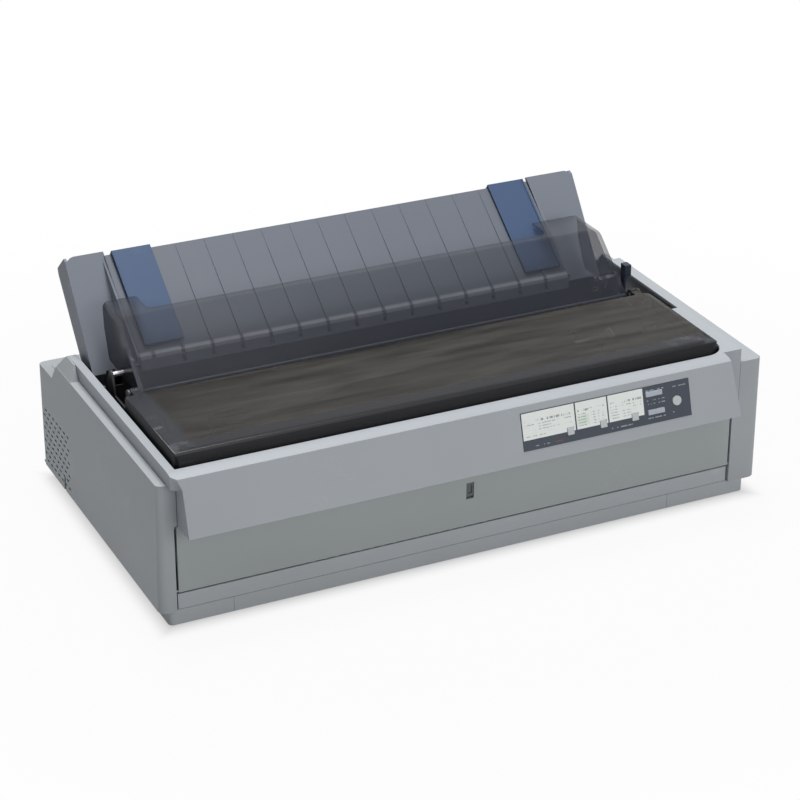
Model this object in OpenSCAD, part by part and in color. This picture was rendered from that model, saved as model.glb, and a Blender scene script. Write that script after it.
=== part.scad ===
// Wide-carriage impact matrix printer, built as its separate pieces.
// X runs to the right, Y to the back, Z up. The origin is at the centre of the
// footprint, on the surface the printer stands on. All sizes are in millimetres.

/* [Case] */
// Width across the foot of the side walls
case_w = 626; // [600:1:760]
// Depth from the front of the side walls to the rear wall
case_d = 332; // [320:1:400]
// How far the bezel's lower lip stands in front of the side walls
bezel_out = 29; // [22:1:36]
// How far the platen knob stands out from the right wall
knob_out = 13; // [11:1:20]
// Height of the side wall's ledge above the table
ledge_z = 146; // [144:1:165]
// Height of the raised rim above the ledge
rim_up = 14; // [10:1:18]
// Wall thickness of the moulded shells
wall = 2.5; // [2:0.1:3.2]
// Lean of a side wall over its height
draft = 2; // [0:0.5:4]
// Height of the inset strip under the side walls
base_h = 15; // [12:1:17]
// Height of the rubber feet
foot_h = 2; // [1:0.5:3]

/* [Covers] */
// Height of the printer cover's top above the table
cover_z = 171; // [168:1:176]
// Gap line between neighbouring covers
cover_gap = 2.5; // [1.5:0.1:3.5]
// Height of the front cover's lower edge
front_cover_z = 35.5; // [33:0.5:40]
// Length of the smoked flap's sloping face
flap_face = 79; // [74:1:82]
// Slope of the smoked flap's face above the horizontal
flap_slope = 41; // [39:1:43]
// Length of the paper guide's wings
wing_len = 94; // [84:1:100]
// Width of one sliding edge guide
edge_guide_w = 40; // [30:1:46]

/* [Mechanism] */
// Radius of the rubber platen roller
platen_r = 17; // [16:0.5:17.5]
// Radius of the platen shaft
shaft_r = 5; // [4:0.5:6]
// Radius of the carriage guide rod
rod_r = 6; // [4.5:0.5:6.5]
// Thickness of the steel side frames
frame_t = 2; // [1.5:0.5:2.5]
// Width of the print head carriage
carriage_w = 60; // [50:1:70]
// Gear module
gear_mod = 1; // [1:1:1]
// Teeth of the platen gear
platen_teeth = 44; // [44:1:44]
// Radius of the hinge pins
pin_r = 2.5; // [2:0.1:3]
// Radial clearance of a turning pin or shaft
run_fit = 0.05; // [0.02:0.01:0.1]

/* [Controls] */
// Width of the control plate
plate_w = 180; // [170:1:190]
// Height of the control plate along the bezel
plate_h = 36; // [34:1:38]
// Travel of a key

/* [Hidden] */
$fn = 48;

// outer planes of the case
x_left = -(case_w + knob_out) / 2;
x_right = x_left + case_w;
y_front = -(case_d + bezel_out) / 2 + bezel_out;
y_rear = y_front + case_d;
y_lip = y_front - bezel_out;
tub_z = foot_h + base_h;
rim_z = ledge_z + rim_up;

// the raised upper case, its opening, and the front panels beside the covers
upper_l = x_left + 11;
upper_r = x_right - 26;
open_l = upper_l + 8;
open_r = upper_r - 15;
open_r_rear = upper_r - 5;
open_step_y = y_front + 110;
open_front_y = y_front;
open_corner = 22;
panel_l = x_left + 16;
panel_r = x_right - 32;
lip_z = 104;
bezel_lean = 15;
bezel_l = upper_l + 8.5;
bezel_r = upper_r - 14;
bezel_r_top = bezel_r - 7;
hump_y = y_front + 263;
slope_y = y_front + 290;
shelf_z = ledge_z - 20;
flare_y = y_front + 233;
upper_gap = 0.3;
deck_back = y_rear - 14 - upper_gap;

// smoked printer cover and its hinge
lid_l = open_l + 3;
lid_r = open_r - 2.5;
lid_front = open_front_y + 4;
lid_back = y_front + 134;
lid_skirt_z = rim_z - 10;
hinge_y = lid_back + 11;
hinge_z = cover_z - 4;
arm_w = 8;
arm_gap = 0.5;

// smoked flap and its hinge
flap_y = hinge_y + 3;
flap_z = hinge_z - 3;
flap_l = lid_l + 21;
flap_r = open_r - 27;
flap_t = 2.5;
flap_top_y = flap_y + flap_face * cos(flap_slope);
flap_top_z = flap_z + flap_face * sin(flap_slope);
flap_pin_y = flap_y + 44;
flap_pin_z = flap_z + 3;
cheek_deep = 41;

// paper guide
guide_l = lid_l + 2;
guide_r = open_r - 10;
guide_lean = 35.7;
guide_y = flap_pin_y + 51;
guide_foot_z = hinge_z + 2;
guide_pin_y = guide_y + 7;
guide_pin_z = guide_foot_z - 19;
guide_t = 2.5;
flange_d = 26;
wing_l = 39;
wing_r = 53;
sheet_l = guide_l + wing_l + 0.3;
sheet_r = guide_r - wing_r - 0.3;
sheet_y = guide_y - 39;
sheet_z = guide_foot_z + 4;
sheet_top_y = guide_y + wing_len * sin(guide_lean) - 1;
sheet_top_z = guide_foot_z + wing_len * cos(guide_lean) - 4;
sheet_run = sheet_top_y - sheet_y;
sheet_rise = sheet_top_z - sheet_z;
sheet_slope = atan2(sheet_rise, sheet_run);
sheet_len = norm([sheet_run, sheet_rise]);
rib_pitch = 30;
rib_h = 1.6;
rib_top_h = 0.4;
slot_w = 3.6;
rib_mid = (sheet_l + sheet_r) / 2 + 9;
blade_t = 1.6;
blade_clear = 0.4;
fence_h = 3;
blade_left_x = sheet_l + 7;
blade_right_x = sheet_r - 5 - edge_guide_w;

// steel frames
frame_l = guide_l + 4.5;
frame_r = guide_r - 4.5 - frame_t;
floor_z = foot_h + wall;
frame_front_y = y_front + 36;

// platen and gear train
platen_y = flap_pin_y + 2;
platen_z = 98;
chute_t = 1.5;
chute_foot_y = platen_y + platen_r + 2.6;
chute_foot_z = platen_z + 8;
chute_top_y = sheet_y + 3.2;
chute_top_z = sheet_z - 9;
platen_l = frame_l + 51;
platen_end = frame_r - 49;
gear_x = frame_r + frame_t + 5;
gear_w = 8;
tooth_slim = 0.36;
idler_teeth = 30;
pinion_teeth = 14;
rear_idler_teeth = 40;
tractor_teeth = 28;
function pitch_r(teeth) = teeth * gear_mod / 2;
front_dir = 250;
idler_dist = pitch_r(platen_teeth) + pitch_r(idler_teeth);
idler_y = platen_y + idler_dist * cos(front_dir);
idler_z = platen_z + idler_dist * sin(front_dir);
pinion_dist = pitch_r(idler_teeth) + pitch_r(pinion_teeth);
pinion_y = idler_y + pinion_dist * cos(front_dir);
pinion_z = idler_z + pinion_dist * sin(front_dir);
rear_dir = -20;
rear_dist = pitch_r(platen_teeth) + pitch_r(rear_idler_teeth);
rear_idler_y = platen_y + rear_dist * cos(rear_dir);
rear_idler_z = platen_z + rear_dist * sin(rear_dir);
tractor_dist = pitch_r(rear_idler_teeth) + pitch_r(tractor_teeth);
tractor_y = rear_idler_y + tractor_dist * cos(rear_dir);
tractor_z = rear_idler_z + tractor_dist * sin(rear_dir);
// rotation that puts gear b's gap on gear a's tooth in direction dir
function mesh_phase(phase_a, teeth_a, teeth_b, dir) =
  dir + 180 - (0.5 - (dir - phase_a) * teeth_a / 360) * 360 / teeth_b;
idler_phase = mesh_phase(0, platen_teeth, idler_teeth, front_dir);
pinion_phase = mesh_phase(idler_phase, idler_teeth, pinion_teeth, front_dir);
rear_idler_phase = mesh_phase(0, platen_teeth, rear_idler_teeth, rear_dir);
tractor_phase = mesh_phase(rear_idler_phase, rear_idler_teeth, tractor_teeth, rear_dir);

// tractors
square_side = 6;
square_clear = 4.6;
trod_r = 4;
trod_y = tractor_y + 34;
trod_z = tractor_z - 2;
frame_back_y = trod_y + 14;
tractor_w = 22;
tractor_l_x = platen_l + 38;
tractor_r_x = platen_end - 54;

// carriage, its rod and rail, belt and head
rod_y = platen_y - 36;
rod_z = 74;
rail_y = rod_y - 44;
rail_z = 92;
carriage_x = platen_l + 50;
ribbon_t = 0.4;
ribbon_y = platen_y - platen_r - 0.9;
belt_y = rod_y - 33;
belt_z = 82;
belt_h = 6;
pulley_r = 8;
belt_t = 1.2;
drive_x = frame_r - 27;
idler_x = frame_l + 29;
deck_z = 72;
deck_t = 2;
motor_r = 19;
motor_h = 36;

// ribbon cartridge
rib_l = frame_l + frame_t + 2;
rib_r = frame_r - 2;
rib_y0 = frame_front_y + 6;
rib_y1 = rib_y0 + 54;
rib_z = deck_z + deck_t + 0.3;
rib_h2 = 26;
ribbon_z = platen_z - 6.5;

// levers
release_y = flap_pin_y - 12;
release_z = 128;
release_x = frame_r + frame_t + 1.5;
release_len = 56;
thick_y = rail_y - 6;
thick_z = 116;

// control plate in the leaning bezel
plate_x = x_left + 351;
plate_t = 1.2;
bezel_rise = rim_z - 3 - lip_z;
bezel_angle = atan2(bezel_lean, bezel_rise);
plate_top = 7;
card_h = 26;
card_t = 0.4;
key_out = 1.2;
key_fit = 0.3;
small_key = [7, 7];
wide_key = [18, 5];
round_key_r = 4.6;

// front cover hinge and latch
fc_t = 2.5;
fc_y = y_front + 1;
fc_l = panel_l + 2.5;
fc_r = panel_r - 1.5;
fc_top = lip_z - 2;
fc_pin_y = fc_y + fc_t / 2;
fc_pin_z = front_cover_z + fc_t / 2;
fc_pin_r = 1.0;
latch_x = x_left + 306;
latch_w = 7;
latch_z = 66;

// colours, by finish
shell_grey = [0.62, 0.64, 0.67];
side_grey = [0.56, 0.59, 0.6];
guide_grey = [0.47, 0.5, 0.55];
smoke = [0.25, 0.27, 0.32, 0.6];
guide_blue = [0.36, 0.46, 0.62];
dark_plastic = [0.13, 0.14, 0.15];
steel = [0.7, 0.71, 0.72];
rubber_black = [0.08, 0.08, 0.08];
gear_white = [0.85, 0.84, 0.8];
board_green = [0.12, 0.33, 0.2];

// a flat outline in Y and Z, carried along X
module along_x(x0, x1) {
  translate([x0, 0, 0]) rotate([90, 0, 90]) linear_extrude(x1 - x0) children();
}

// a flat outline in X and Z, carried along Y
module along_y(y0, y1) {
  translate([0, y1, 0]) rotate([90, 0, 0]) linear_extrude(y1 - y0) children();
}

module block(a, b) {
  translate(a) cube(b - a);
}

// a round bar or bore along X
module bar_x(x0, x1, y, z, r) {
  translate([x0, y, z]) rotate([0, 90, 0]) cylinder(h = x1 - x0, r = r);
}

module bar_z(x, y, z0, z1, r) {
  translate([x, y, z0]) cylinder(h = z1 - z0, r = r);
}

// rectangle with round corners
module rounded(w, h, r) {
  translate([r, 0]) square([w - 2 * r, h]);
  translate([0, r]) square([w, h - 2 * r]);
  for (x = [r, w - r], y = [r, h - r]) translate([x, y]) circle(r);
}

// spur gear outline with slim tapered teeth, one of them on the first axis
module gear_outline(teeth) {
  root = pitch_r(teeth) - 1.1 * gear_mod;
  tip = pitch_r(teeth) + 0.9 * gear_mod;
  half = tooth_slim * 180 / teeth;
  circle(root, $fn = 96);
  for (k = [0 : teeth - 1]) rotate(k * 360 / teeth)
    polygon([[root - 0.5, -root * sin(half * 1.9)], [pitch_r(teeth), -pitch_r(teeth) * sin(half * 1.25)],
      [tip, -tip * sin(half * 0.6)], [tip, tip * sin(half * 0.6)],
      [pitch_r(teeth), pitch_r(teeth) * sin(half * 1.25)], [root - 0.5, root * sin(half * 1.9)]]);
}

module gear_x_axis(x0, w, y, z, teeth, phase, bore) {
  along_x(x0, x0 + w) translate([y, z]) difference() {
    rotate(phase) gear_outline(teeth);
    circle(bore);
  }
}

// ---- lower case ----------------------------------------------------------

// Y at which the rear slope comes down to height z
function slope_at(z) = slope_y - (slope_y - hump_y) * (z - shelf_z - 1) / (rim_z - shelf_z - 1);

// side view of the side walls: ledge, rear slope, low rear shelf
module side_view(t) {
  foot = tub_z - (t > 0 ? 1 : 0);
  polygon([[y_front + t, foot], [y_front + t, ledge_z - t], [slope_at(ledge_z) - t, ledge_z - t],
    [slope_y - t, shelf_z + 1 - t], [y_rear - t, shelf_z - t], [y_rear - t, foot]]);
}

// leaning flank that carries the left wall up to the rim beside the paper guide
module left_flare() {
  intersection() {
    along_y(flare_y, slope_y) polygon([[x_left + draft + 0.2, ledge_z - 1], [x_left + draft + 0.2, ledge_z],
      [upper_l - upper_gap - 1.5, rim_z], [upper_l - upper_gap, rim_z], [upper_l - upper_gap, ledge_z - 1]]);
    along_x(x_left, upper_l) polygon([[flare_y, ledge_z - 1], [flare_y, ledge_z], [flare_y + 8, rim_z],
      [hump_y, rim_z],
      [slope_at(ledge_z - 1), ledge_z - 1]]);
  }
}

// front view of the case with its leaning side walls
module front_view(t) {
  polygon([[x_left + t, tub_z - 2], [x_left + draft + t, rim_z + 5],
    [x_right - draft - t, rim_z + 5], [x_right - t, tub_z - 2]]);
}

module plan_view(t, r) {
  translate([x_left + t, y_front + t]) rounded(case_w - 2 * t, case_d - 2 * t, r);
}

module case_form(t, r) {
  intersection() {
    along_x(x_left - 1, x_right + 1) side_view(t);
    along_y(y_front - 1, y_rear + 1) front_view(t);
    translate([0, 0, tub_z - 2]) linear_extrude(200) plan_view(t, r);
  }
}

vent_y = y_rear - 86;
vent_z = 24;
slot_y = 6;
slot_z = 2.2;

module side_vents() {
  for (row = [0 : 8], col = [0 : 6])
    translate([x_left - 1, vent_y + col * 11 + (row % 2) * 5.5, vent_z + row * 7])
      cube([wall + draft + 3, slot_y, slot_z]);
}

rear_slot_z = tractor_z + 8;
rear_slot_h = 18;
inlet_x = x_right - 86;
inlet_w = 28;
inlet_z = 30;
inlet_h = 21;
switch_x = inlet_x + inlet_w + 8;
switch_w = 14;
port_x = x_left + 84;
port_w = 96;
port_z = 28;
port_h = 24;
tray_l = x_left + 9;
tray_r = x_right - 12;
tray_front = y_front + 3;
tray_back = y_rear - 3;
boss_r = 5;
boss_in = 3;
screw_r = 1.5;
flange_in = wall + 2 * boss_r + boss_in;
rail_top = lip_z - 1.5;

// places of the bosses that hold tray and lower case together
module screw_places() {
  for (x = [tray_l + wall + boss_in + 3, tray_r - wall - boss_in - 3],
    y = [tray_front + 40, (tray_front + tray_back) / 2, tray_back - 40]) translate([x, y, 0]) children();
}

module lower_case() {
  color(side_grey) difference() {
    union() {
      difference() {
        case_form(0, 9);
        case_form(wall, 6.5);
        // well for the upper case, narrower where the bezel comes out through the front
        block([upper_l - upper_gap, y_front + wall, lip_z - upper_gap], [upper_r + upper_gap, y_rear - 14,
          rim_z + 9]);
        block([bezel_l - upper_gap, y_front - 1, lip_z - upper_gap], [upper_r + upper_gap,
          y_front + wall + 1, rim_z + 9]);
        // opening between the front panels
        block([panel_l, y_front - 1, tub_z - 1], [panel_r, y_front + wall + 8, lip_z - upper_gap]);
      }
      left_flare();
      // flanges that rest on the tray
      block([x_left + 1, y_front + 14, tub_z], [tray_l + flange_in, y_rear - 1, tub_z + wall]);
      block([tray_r - flange_in, y_front + 14, tub_z], [x_right - 1, y_rear - 1, tub_z + wall]);
      block([x_left + 1, tray_back - 8, tub_z], [x_right - 1, y_rear - 1, tub_z + wall]);
      // cross rail behind the front cover's top edge
      block([panel_l - 4, fc_y + fc_t + upper_gap, rail_top - 3.5], [panel_r + 4, fc_y + fc_t + 5, rail_top]);
      // blocks for the front cover's hinge pins
      block([panel_l - 8, y_front + 1, fc_pin_z - 4], [panel_l, y_front + 7, fc_pin_z + 4]);
      block([panel_r, y_front + 1, fc_pin_z - 4], [panel_r + 8, y_front + 7, fc_pin_z + 4]);
      // posts behind the panels' inner edges
      block([panel_l - wall, y_front + 1, tub_z], [panel_l, y_front + 12, lip_z - 1]);
      block([panel_r, y_front + 1, tub_z], [panel_r + wall, y_front + 12, lip_z - 1]);
    }
    screw_places() translate([0, 0, tub_z - 1]) cylinder(h = wall + 2, r = screw_r);
    // rear paper slot, inlet, switch and socket openings
    block([platen_l, y_rear - 9, rear_slot_z], [platen_end, y_rear + 1, rear_slot_z + rear_slot_h]);
    block([inlet_x - 0.3, y_rear - 9, inlet_z - 0.3], [inlet_x + inlet_w + 0.3, y_rear + 1,
      inlet_z + inlet_h + 0.3]);
    block([switch_x - 0.3, y_rear - 9, inlet_z - 0.3], [switch_x + switch_w + 0.3, y_rear + 1,
      inlet_z + inlet_h + 0.3]);
    block([port_x - 0.3, y_rear - 9, port_z - 0.3], [port_x + port_w + 0.3, y_rear + 1,
      port_z + port_h + 0.3]);
    side_vents();
    // hook notch in the left wall's lower edge
    block([x_left - 1, vent_y + 15, tub_z - 1], [x_left + wall + 3, vent_y + 20, tub_z + 15]);
    // knob shaft
    bar_x(x_right - wall - 6, x_right + 1, platen_y, platen_z, shaft_r + 1);
    // front cover hinge bores
    bar_x(panel_l - 7, panel_l + 1, fc_pin_y, fc_pin_z, fc_pin_r + run_fit);
    bar_x(panel_r - 1, panel_r + 7, fc_pin_y, fc_pin_z, fc_pin_r + run_fit);
  }
}

// ---- upper case ----------------------------------------------------------

// side view of the upper case: leaning bezel, top strip, rear slope and deck
module upper_view(t) {
  open = t > 0 ? 1 : 0;
  polygon([[y_lip + t * 1.1, lip_z - open], [y_lip + bezel_lean + t, rim_z - 3 - t / 2],
    [y_lip + bezel_lean + 4 + t / 2, rim_z - 1 - t], [y_lip + bezel_lean + 10, rim_z - t],
    [hump_y - t / 2, rim_z - t], [slope_y - t / 2, shelf_z + 1 - t], [deck_back - t, shelf_z + 0.5 - t],
    [deck_back - t, shelf_z - 6 - open], [slope_y - 6, shelf_z - 6 - open], [hump_y - 24, rim_z - 24 - open],
    [y_front + 6 + open, rim_z - 24 - open], [y_front + 6 + open, lip_z - open]]);
}

// plan below the ledge: the bezel's ends come straight out through the front
module bezel_plan(t) {
  jog = y_front + wall + upper_gap + t;
  polygon([[upper_l + t, y_rear], [upper_l + t, jog], [bezel_l + t, jog], [bezel_l + t, y_lip - 1],
    [bezel_r - t, y_lip - 1], [bezel_r - t, y_front + t], [upper_r - t, y_front + t], [upper_r - t, y_rear]]);
}

// plan of the rim above the ledge
module rim_plan(t) {
  polygon([[upper_l + t, y_rear], [upper_l + t, y_front - 10], [bezel_l + t, y_front - 17], [bezel_l + t,
    y_lip - 1],
    [bezel_r - t, y_lip - 1], [bezel_r - t, y_front + t], [upper_r - t, y_front + t], [upper_r - t, y_rear]]);
}

module upper_form(t) {
  step = ledge_z + upper_gap;
  difference() {
    intersection() {
      along_x(upper_l + t, upper_r - t) upper_view(t);
      union() {
        translate([0, 0, lip_z - 6]) linear_extrude(step - lip_z + 6 + t) bezel_plan(t);
        translate([0, 0, step + t]) linear_extrude(60) rim_plan(t);
      }
    }
    // the bezel's right end leans in towards the top
    along_y(y_lip - 2, y_front + t) polygon([[bezel_r_top - t, rim_z + 5], [bezel_r + 9, rim_z + 5],
      [bezel_r + 9, lip_z - 8], [bezel_r - t, lip_z - 8]]);
  }
}

// plan of the opening under the covers, with a round front right corner
module opening_plan() {
  r = open_corner;
  difference() {
    translate([open_l, open_front_y]) square([open_r - open_l, slope_y - open_front_y]);
    difference() {
      translate([open_r - r, open_front_y - 1]) square([r + 1, r + 1]);
      translate([open_r - r, open_front_y + r]) circle(r);
    }
  }
}

module upper_case() {
  color(shell_grey) difference() {
    upper_form(0);
    upper_form(wall);
    // opening under the covers, wider behind the step
    translate([0, 0, lip_z - 1]) linear_extrude(80) opening_plan();
    block([open_r - 1, open_step_y, lip_z - 1], [open_r_rear, slope_y, rim_z + 9]);
    // seat of the control plate
    on_bezel() block([plate_x - 0.2, -0.8, -plate_top - plate_h - 0.2], [plate_x + plate_w + 0.2, 4,
      -plate_top + 0.2]);
  }
}

// stands children on the bezel: X along it, -Y out of it, Z up its slope from the fold
module on_bezel() {
  translate([0, y_lip + bezel_lean, rim_z - 3]) rotate([-bezel_angle, 0, 0]) children();
}

module control_plate() {
  color([0.24, 0.28, 0.33]) on_bezel() difference() {
    block([plate_x, -0.4, -plate_top - plate_h], [plate_x + plate_w, -0.4 + plate_t, -plate_top]);
    for (k = [0 : 2]) key_place(k) translate([-small_key[0] / 2 - key_fit, -5, -small_key[1] / 2 - key_fit])
      cube([small_key[0] + 2 * key_fit, 10, small_key[1] + 2 * key_fit]);
    for (k = [3 : 4]) key_place(k) translate([-wide_key[0] / 2 - key_fit, -5, -wide_key[1] / 2 - key_fit])
      cube([wide_key[0] + 2 * key_fit, 10, wide_key[1] + 2 * key_fit]);
    key_place(5) rotate([90, 0, 0]) cylinder(h = 10, r = round_key_r + key_fit, center = true);
  }
}

// places of the keys on the plate: three small, two wide, one round
key_spots = [[50, 26], [85, 26], [119, 26], [141, 7.5], [142, 25], [165, 19]];

module key_place(k) {
  translate([plate_x + key_spots[k][0], 0, -plate_top - key_spots[k][1]]) children();
}

card_spans = [[0.6, 55.5], [57, 90], [91.5, 129]];

module label_cards() {
  color([0.88, 0.9, 0.88]) on_bezel() for (k = [0 : 2]) difference() {
    block([plate_x + card_spans[k][0], -0.4 - card_t, -plate_top - card_h],
      [plate_x + card_spans[k][1], -0.4, -plate_top - 0.6]);
    key_place(k) translate([-small_key[0] / 2 - key_fit, -5, -small_key[1] / 2 - key_fit])
      cube([small_key[0] + 2 * key_fit, 10, small_key[1] + 2 * key_fit]);
  }
}

key_back = 3;

module small_key_cap(k) {
  color([0.66, 0.69, 0.74]) on_bezel() key_place(k) {
    translate([-small_key[0] / 2, -0.4 - key_out, -small_key[1] / 2]) cube([small_key[0],
      key_out + plate_t + 0.2, small_key[1]]);
    translate([0, -0.4 + plate_t + 0.2, 0]) rotate([-90, 0, 0]) cylinder(h = key_back - 1.2, r = 2);
  }
}

module key_small_1() { small_key_cap(0); }
module key_small_2() { small_key_cap(1); }
module key_small_3() { small_key_cap(2); }

module wide_key_cap(k) {
  color([0.66, 0.69, 0.74]) on_bezel() key_place(k) {
    translate([-wide_key[0] / 2, -0.4 - key_out, -wide_key[1] / 2]) cube([wide_key[0],
      key_out + plate_t + 0.2, wide_key[1]]);
    translate([0, -0.4 + plate_t + 0.2, 0]) rotate([-90, 0, 0]) cylinder(h = key_back - 1.2, r = 2);
  }
}

module key_wide_upper() { wide_key_cap(3); }
module key_wide_lower() { wide_key_cap(4); }

module key_round() {
  color([0.7, 0.73, 0.77]) on_bezel() key_place(5) translate([0, -0.4 - key_out, 0]) rotate([-90, 0, 0]) {
    cylinder(h = key_out + plate_t + 0.2, r = round_key_r);
    cylinder(h = key_out + plate_t + key_back - 1, r = 2);
  }
}

// ---- front ---------------------------------------------------------------

module front_cover() {
  color([0.53, 0.56, 0.54]) difference() {
    union() {
      block([fc_l, fc_y, front_cover_z], [fc_r, fc_y + fc_t, fc_top]);
      bar_x(panel_l - 4, fc_l + 4, fc_pin_y, fc_pin_z, fc_pin_r);
      bar_x(fc_r - 4, panel_r + 4, fc_pin_y, fc_pin_z, fc_pin_r);
    }
    block([latch_x - latch_fit, fc_y - 1, latch_z - latch_travel - latch_fit],
      [latch_x + latch_w + latch_fit, fc_y + fc_t + 1, latch_z + latch_h + latch_fit]);
  }
}

latch_h = 14;
latch_fit = 0.4;
latch_travel = 2;

module cover_latch() {
  back = fc_y + fc_t + latch_fit;
  color(dark_plastic) difference() {
    union() {
      block([latch_x, fc_y + 0.6, latch_z], [latch_x + latch_w, back, latch_z + latch_h]);
      block([latch_x - 2.5, back, latch_z - 3], [latch_x + latch_w + 2.5, back + 1.5, latch_z + latch_h + 3]);
      // tongue that runs in under the cross rail
      block([latch_x, back, latch_z + latch_h], [latch_x + latch_w, back + 1.5, rail_top - 5]);
      block([latch_x, back, rail_top - 7.5], [latch_x + latch_w, back + 7, rail_top - 5]);
    }
    block([latch_x + 1.2, fc_y, latch_z + 3], [latch_x + latch_w - 1.2, fc_y + 1.8, latch_z + latch_h - 2]);
  }
}

module front_skirt() {
  color([0.5, 0.53, 0.52]) {
    block([panel_l + 2, tray_front, tub_z], [panel_r - 1, tray_front + wall, front_cover_z - cover_gap]);
    for (x = [panel_l + 40, (panel_l + panel_r) / 2, panel_r - 52])
      block([x, tray_front + wall, tub_z], [x + 12, tray_front + wall + 6, tub_z + 9]);
  }
}

module base_tray() {
  color([0.45, 0.48, 0.49]) difference() {
    union() {
      difference() {
        translate([tray_l, tray_front, foot_h]) linear_extrude(base_h)
          rounded(tray_r - tray_l, tray_back - tray_front, 5);
        block([tray_l + wall, tray_front + wall, floor_z], [tray_r - wall, tray_back - wall, tub_z + 1]);
      }
      screw_places() translate([0, 0, floor_z - 1]) cylinder(h = tub_z - floor_z + 1, r = boss_r);
    }
    screw_places() {
      translate([0, 0, foot_h - 1]) cylinder(h = base_h + 2, r = screw_r);
      translate([0, 0, foot_h - 1]) cylinder(h = 4, r = 3.2);
    }
    // seams in the front strip
    for (x = [tray_l + 62.5, tray_r - 87.5])
      block([x - 0.3, tray_front - 1, foot_h - 1], [x + 0.3, tray_front + 0.5, tub_z + 1]);
    // air slots in the floor
    for (k = [0 : 15]) block([tray_l + 160.5 + 12 * k, tray_front + 38.5, foot_h - 1],
      [tray_l + 165.5 + 12 * k, tray_front + 88.5, floor_z + 1]);
  }
}

module case_screws() {
  color(steel) screw_places() {
    translate([0, 0, foot_h + 3]) cylinder(h = base_h - 1, r = screw_r);
    difference() {
      translate([0, 0, foot_h + 1]) cylinder(h = 2, r = 3);
      translate([-0.4, -2, foot_h]) cube([0.8, 4, 1.8]);
      translate([-2, -0.4, foot_h]) cube([4, 0.8, 1.8]);
    }
  }
}

module rubber_feet() {
  color(rubber_black) for (x = [tray_l + 34, tray_r - 34], y = [tray_front + 22, tray_back - 30])
    translate([x, y, 0]) cylinder(h = foot_h, r = 9);
}

// ---- smoked covers -------------------------------------------------------

lid_t = 2.5;

module lid_side(t) {
  low = lid_skirt_z - (t > 0 ? 1 : 0);
  top = cover_z - t;
  polygon([[lid_front - 1 + t, low], [lid_front - 0.5 + t, cover_z - 12], [lid_front + 1 + t, top - 5.5],
    [lid_front + 3.2 + t * 0.8, top - 2.4], [lid_front + 6 + t * 0.5, top - 0.8], [lid_front + 10, top],
    [lid_back + (t > 0 ? 1 : 0), top + 1], [lid_back + (t > 0 ? 1 : 0), low]]);
}

lid_corner_l = 9;
lid_corner_r = 20;

module lid_plan(t) {
  front = lid_front - 1 + t;
  l = lid_corner_l - t;
  r = lid_corner_r - t;
  translate([lid_l + t + l, front]) square([lid_r - lid_l - 2 * t - l - r, 300]);
  translate([lid_l + t, front + l]) square([100, 300]);
  translate([lid_r - t - 100, front + r]) square([100, 300]);
  translate([lid_l + t + l, front + l]) circle(l);
  translate([lid_r - t - r, front + r]) circle(r);
}

// front view of the lid: small rounds on the left edge, a fuller one on the right
module lid_front_view(t) {
  top = cover_z - t;
  polygon([[lid_l + t, lid_skirt_z - 2], [lid_l + t, top - 3], [lid_l + t + 1, top - 1], [lid_l + t + 3, top],
    [lid_r - t - 13, top], [lid_r - t - 8, top - 1], [lid_r - t - 3.6, top - 3.4], [lid_r - t - 1, top - 7],
    [lid_r - t, top - 11.5], [lid_r - t, lid_skirt_z - 2]]);
}

module lid_form(t) {
  intersection() {
    along_x(lid_l + t, lid_r - t) lid_side(t);
    along_y(lid_front - 2, lid_back + 2) lid_front_view(t);
    translate([0, 0, lid_skirt_z - 2]) linear_extrude(60) lid_plan(t);
  }
}

module printer_cover() {
  color(smoke) difference() {
    union() {
      difference() {
        lid_form(0);
        lid_form(lid_t);
      }
      for (x = [arm_left, arm_right]) {
        bar_x(x, x + arm_w, hinge_y, hinge_z, 5);
        block([x, lid_back - 4, hinge_z - 2], [x + arm_w, hinge_y, hinge_z + 4]);
      }
    }
    for (x = [arm_left, arm_right]) bar_x(x - 1, x + arm_w + 1, hinge_y, hinge_z, pin_r + run_fit);
  }
}

arm_left = frame_l + frame_t + arm_gap;
arm_right = frame_r - arm_gap - arm_w;

module flap_side(t) {
  rise = t / sin(flap_slope);
  back = t > 0 ? 5 : 0;
  polygon([[flap_y + rise, flap_z - back], [flap_top_y + rise * 0.55, flap_top_z - t],
    [flap_top_y + cheek_deep + back, flap_top_z - t], [flap_top_y + cheek_deep - 4 + back, flap_top_z - 24],
    [flap_pin_y + 41 + back, flap_pin_z - 1], [flap_pin_y + 38 + back, flap_pin_z - 4 - back],
    [flap_pin_y - 2, flap_pin_z - 6 - back], [flap_y + 8, flap_z - 2 - back], [flap_y, flap_z - 1 - back]]);
}

flap_r_corner = 6;

module flap_front(t) {
  top = flap_top_z - t;
  l = flap_l + t;
  r = flap_r - t;
  c = flap_r_corner - t;
  polygon([[flap_l - 2 + t, flap_z - 20], [l, top - c], [l + c, top], [r - c, top], [r, top - c],
    [flap_r + 2 - t, flap_z - 20]]);
  for (x = [l + c, r - c]) translate([x, top - c]) circle(c);
}

module flap_form(t) {
  intersection() {
    along_x(flap_l - 3, flap_r + 3) flap_side(t);
    along_y(flap_y - 5, flap_y + 150) flap_front(t);
  }
}

lip_deep = 9;
gusset_l = 34;
gusset_r = 54;
gusset_round = 8;

module paper_flap() {
  color(smoke) difference() {
    union() {
      difference() {
        flap_form(0);
        flap_form(flap_t);
      }
      for (x = [flap_l - 1, flap_r + 1 - 5]) bar_x(x, x + 5, flap_pin_y, flap_pin_z, 5);
    }
    // the lip is shallow between its two gussets
    translate([flap_l + gusset_l, flap_top_y + lip_deep, flap_top_z - 20]) linear_extrude(40)
      rounded(flap_r - flap_l - gusset_l - gusset_r, 200, gusset_round);
    for (x = [flap_l - 3, flap_r + 3 - 8]) bar_x(x, x + 8, flap_pin_y, flap_pin_z, pin_r + run_fit);
  }
}

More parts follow.
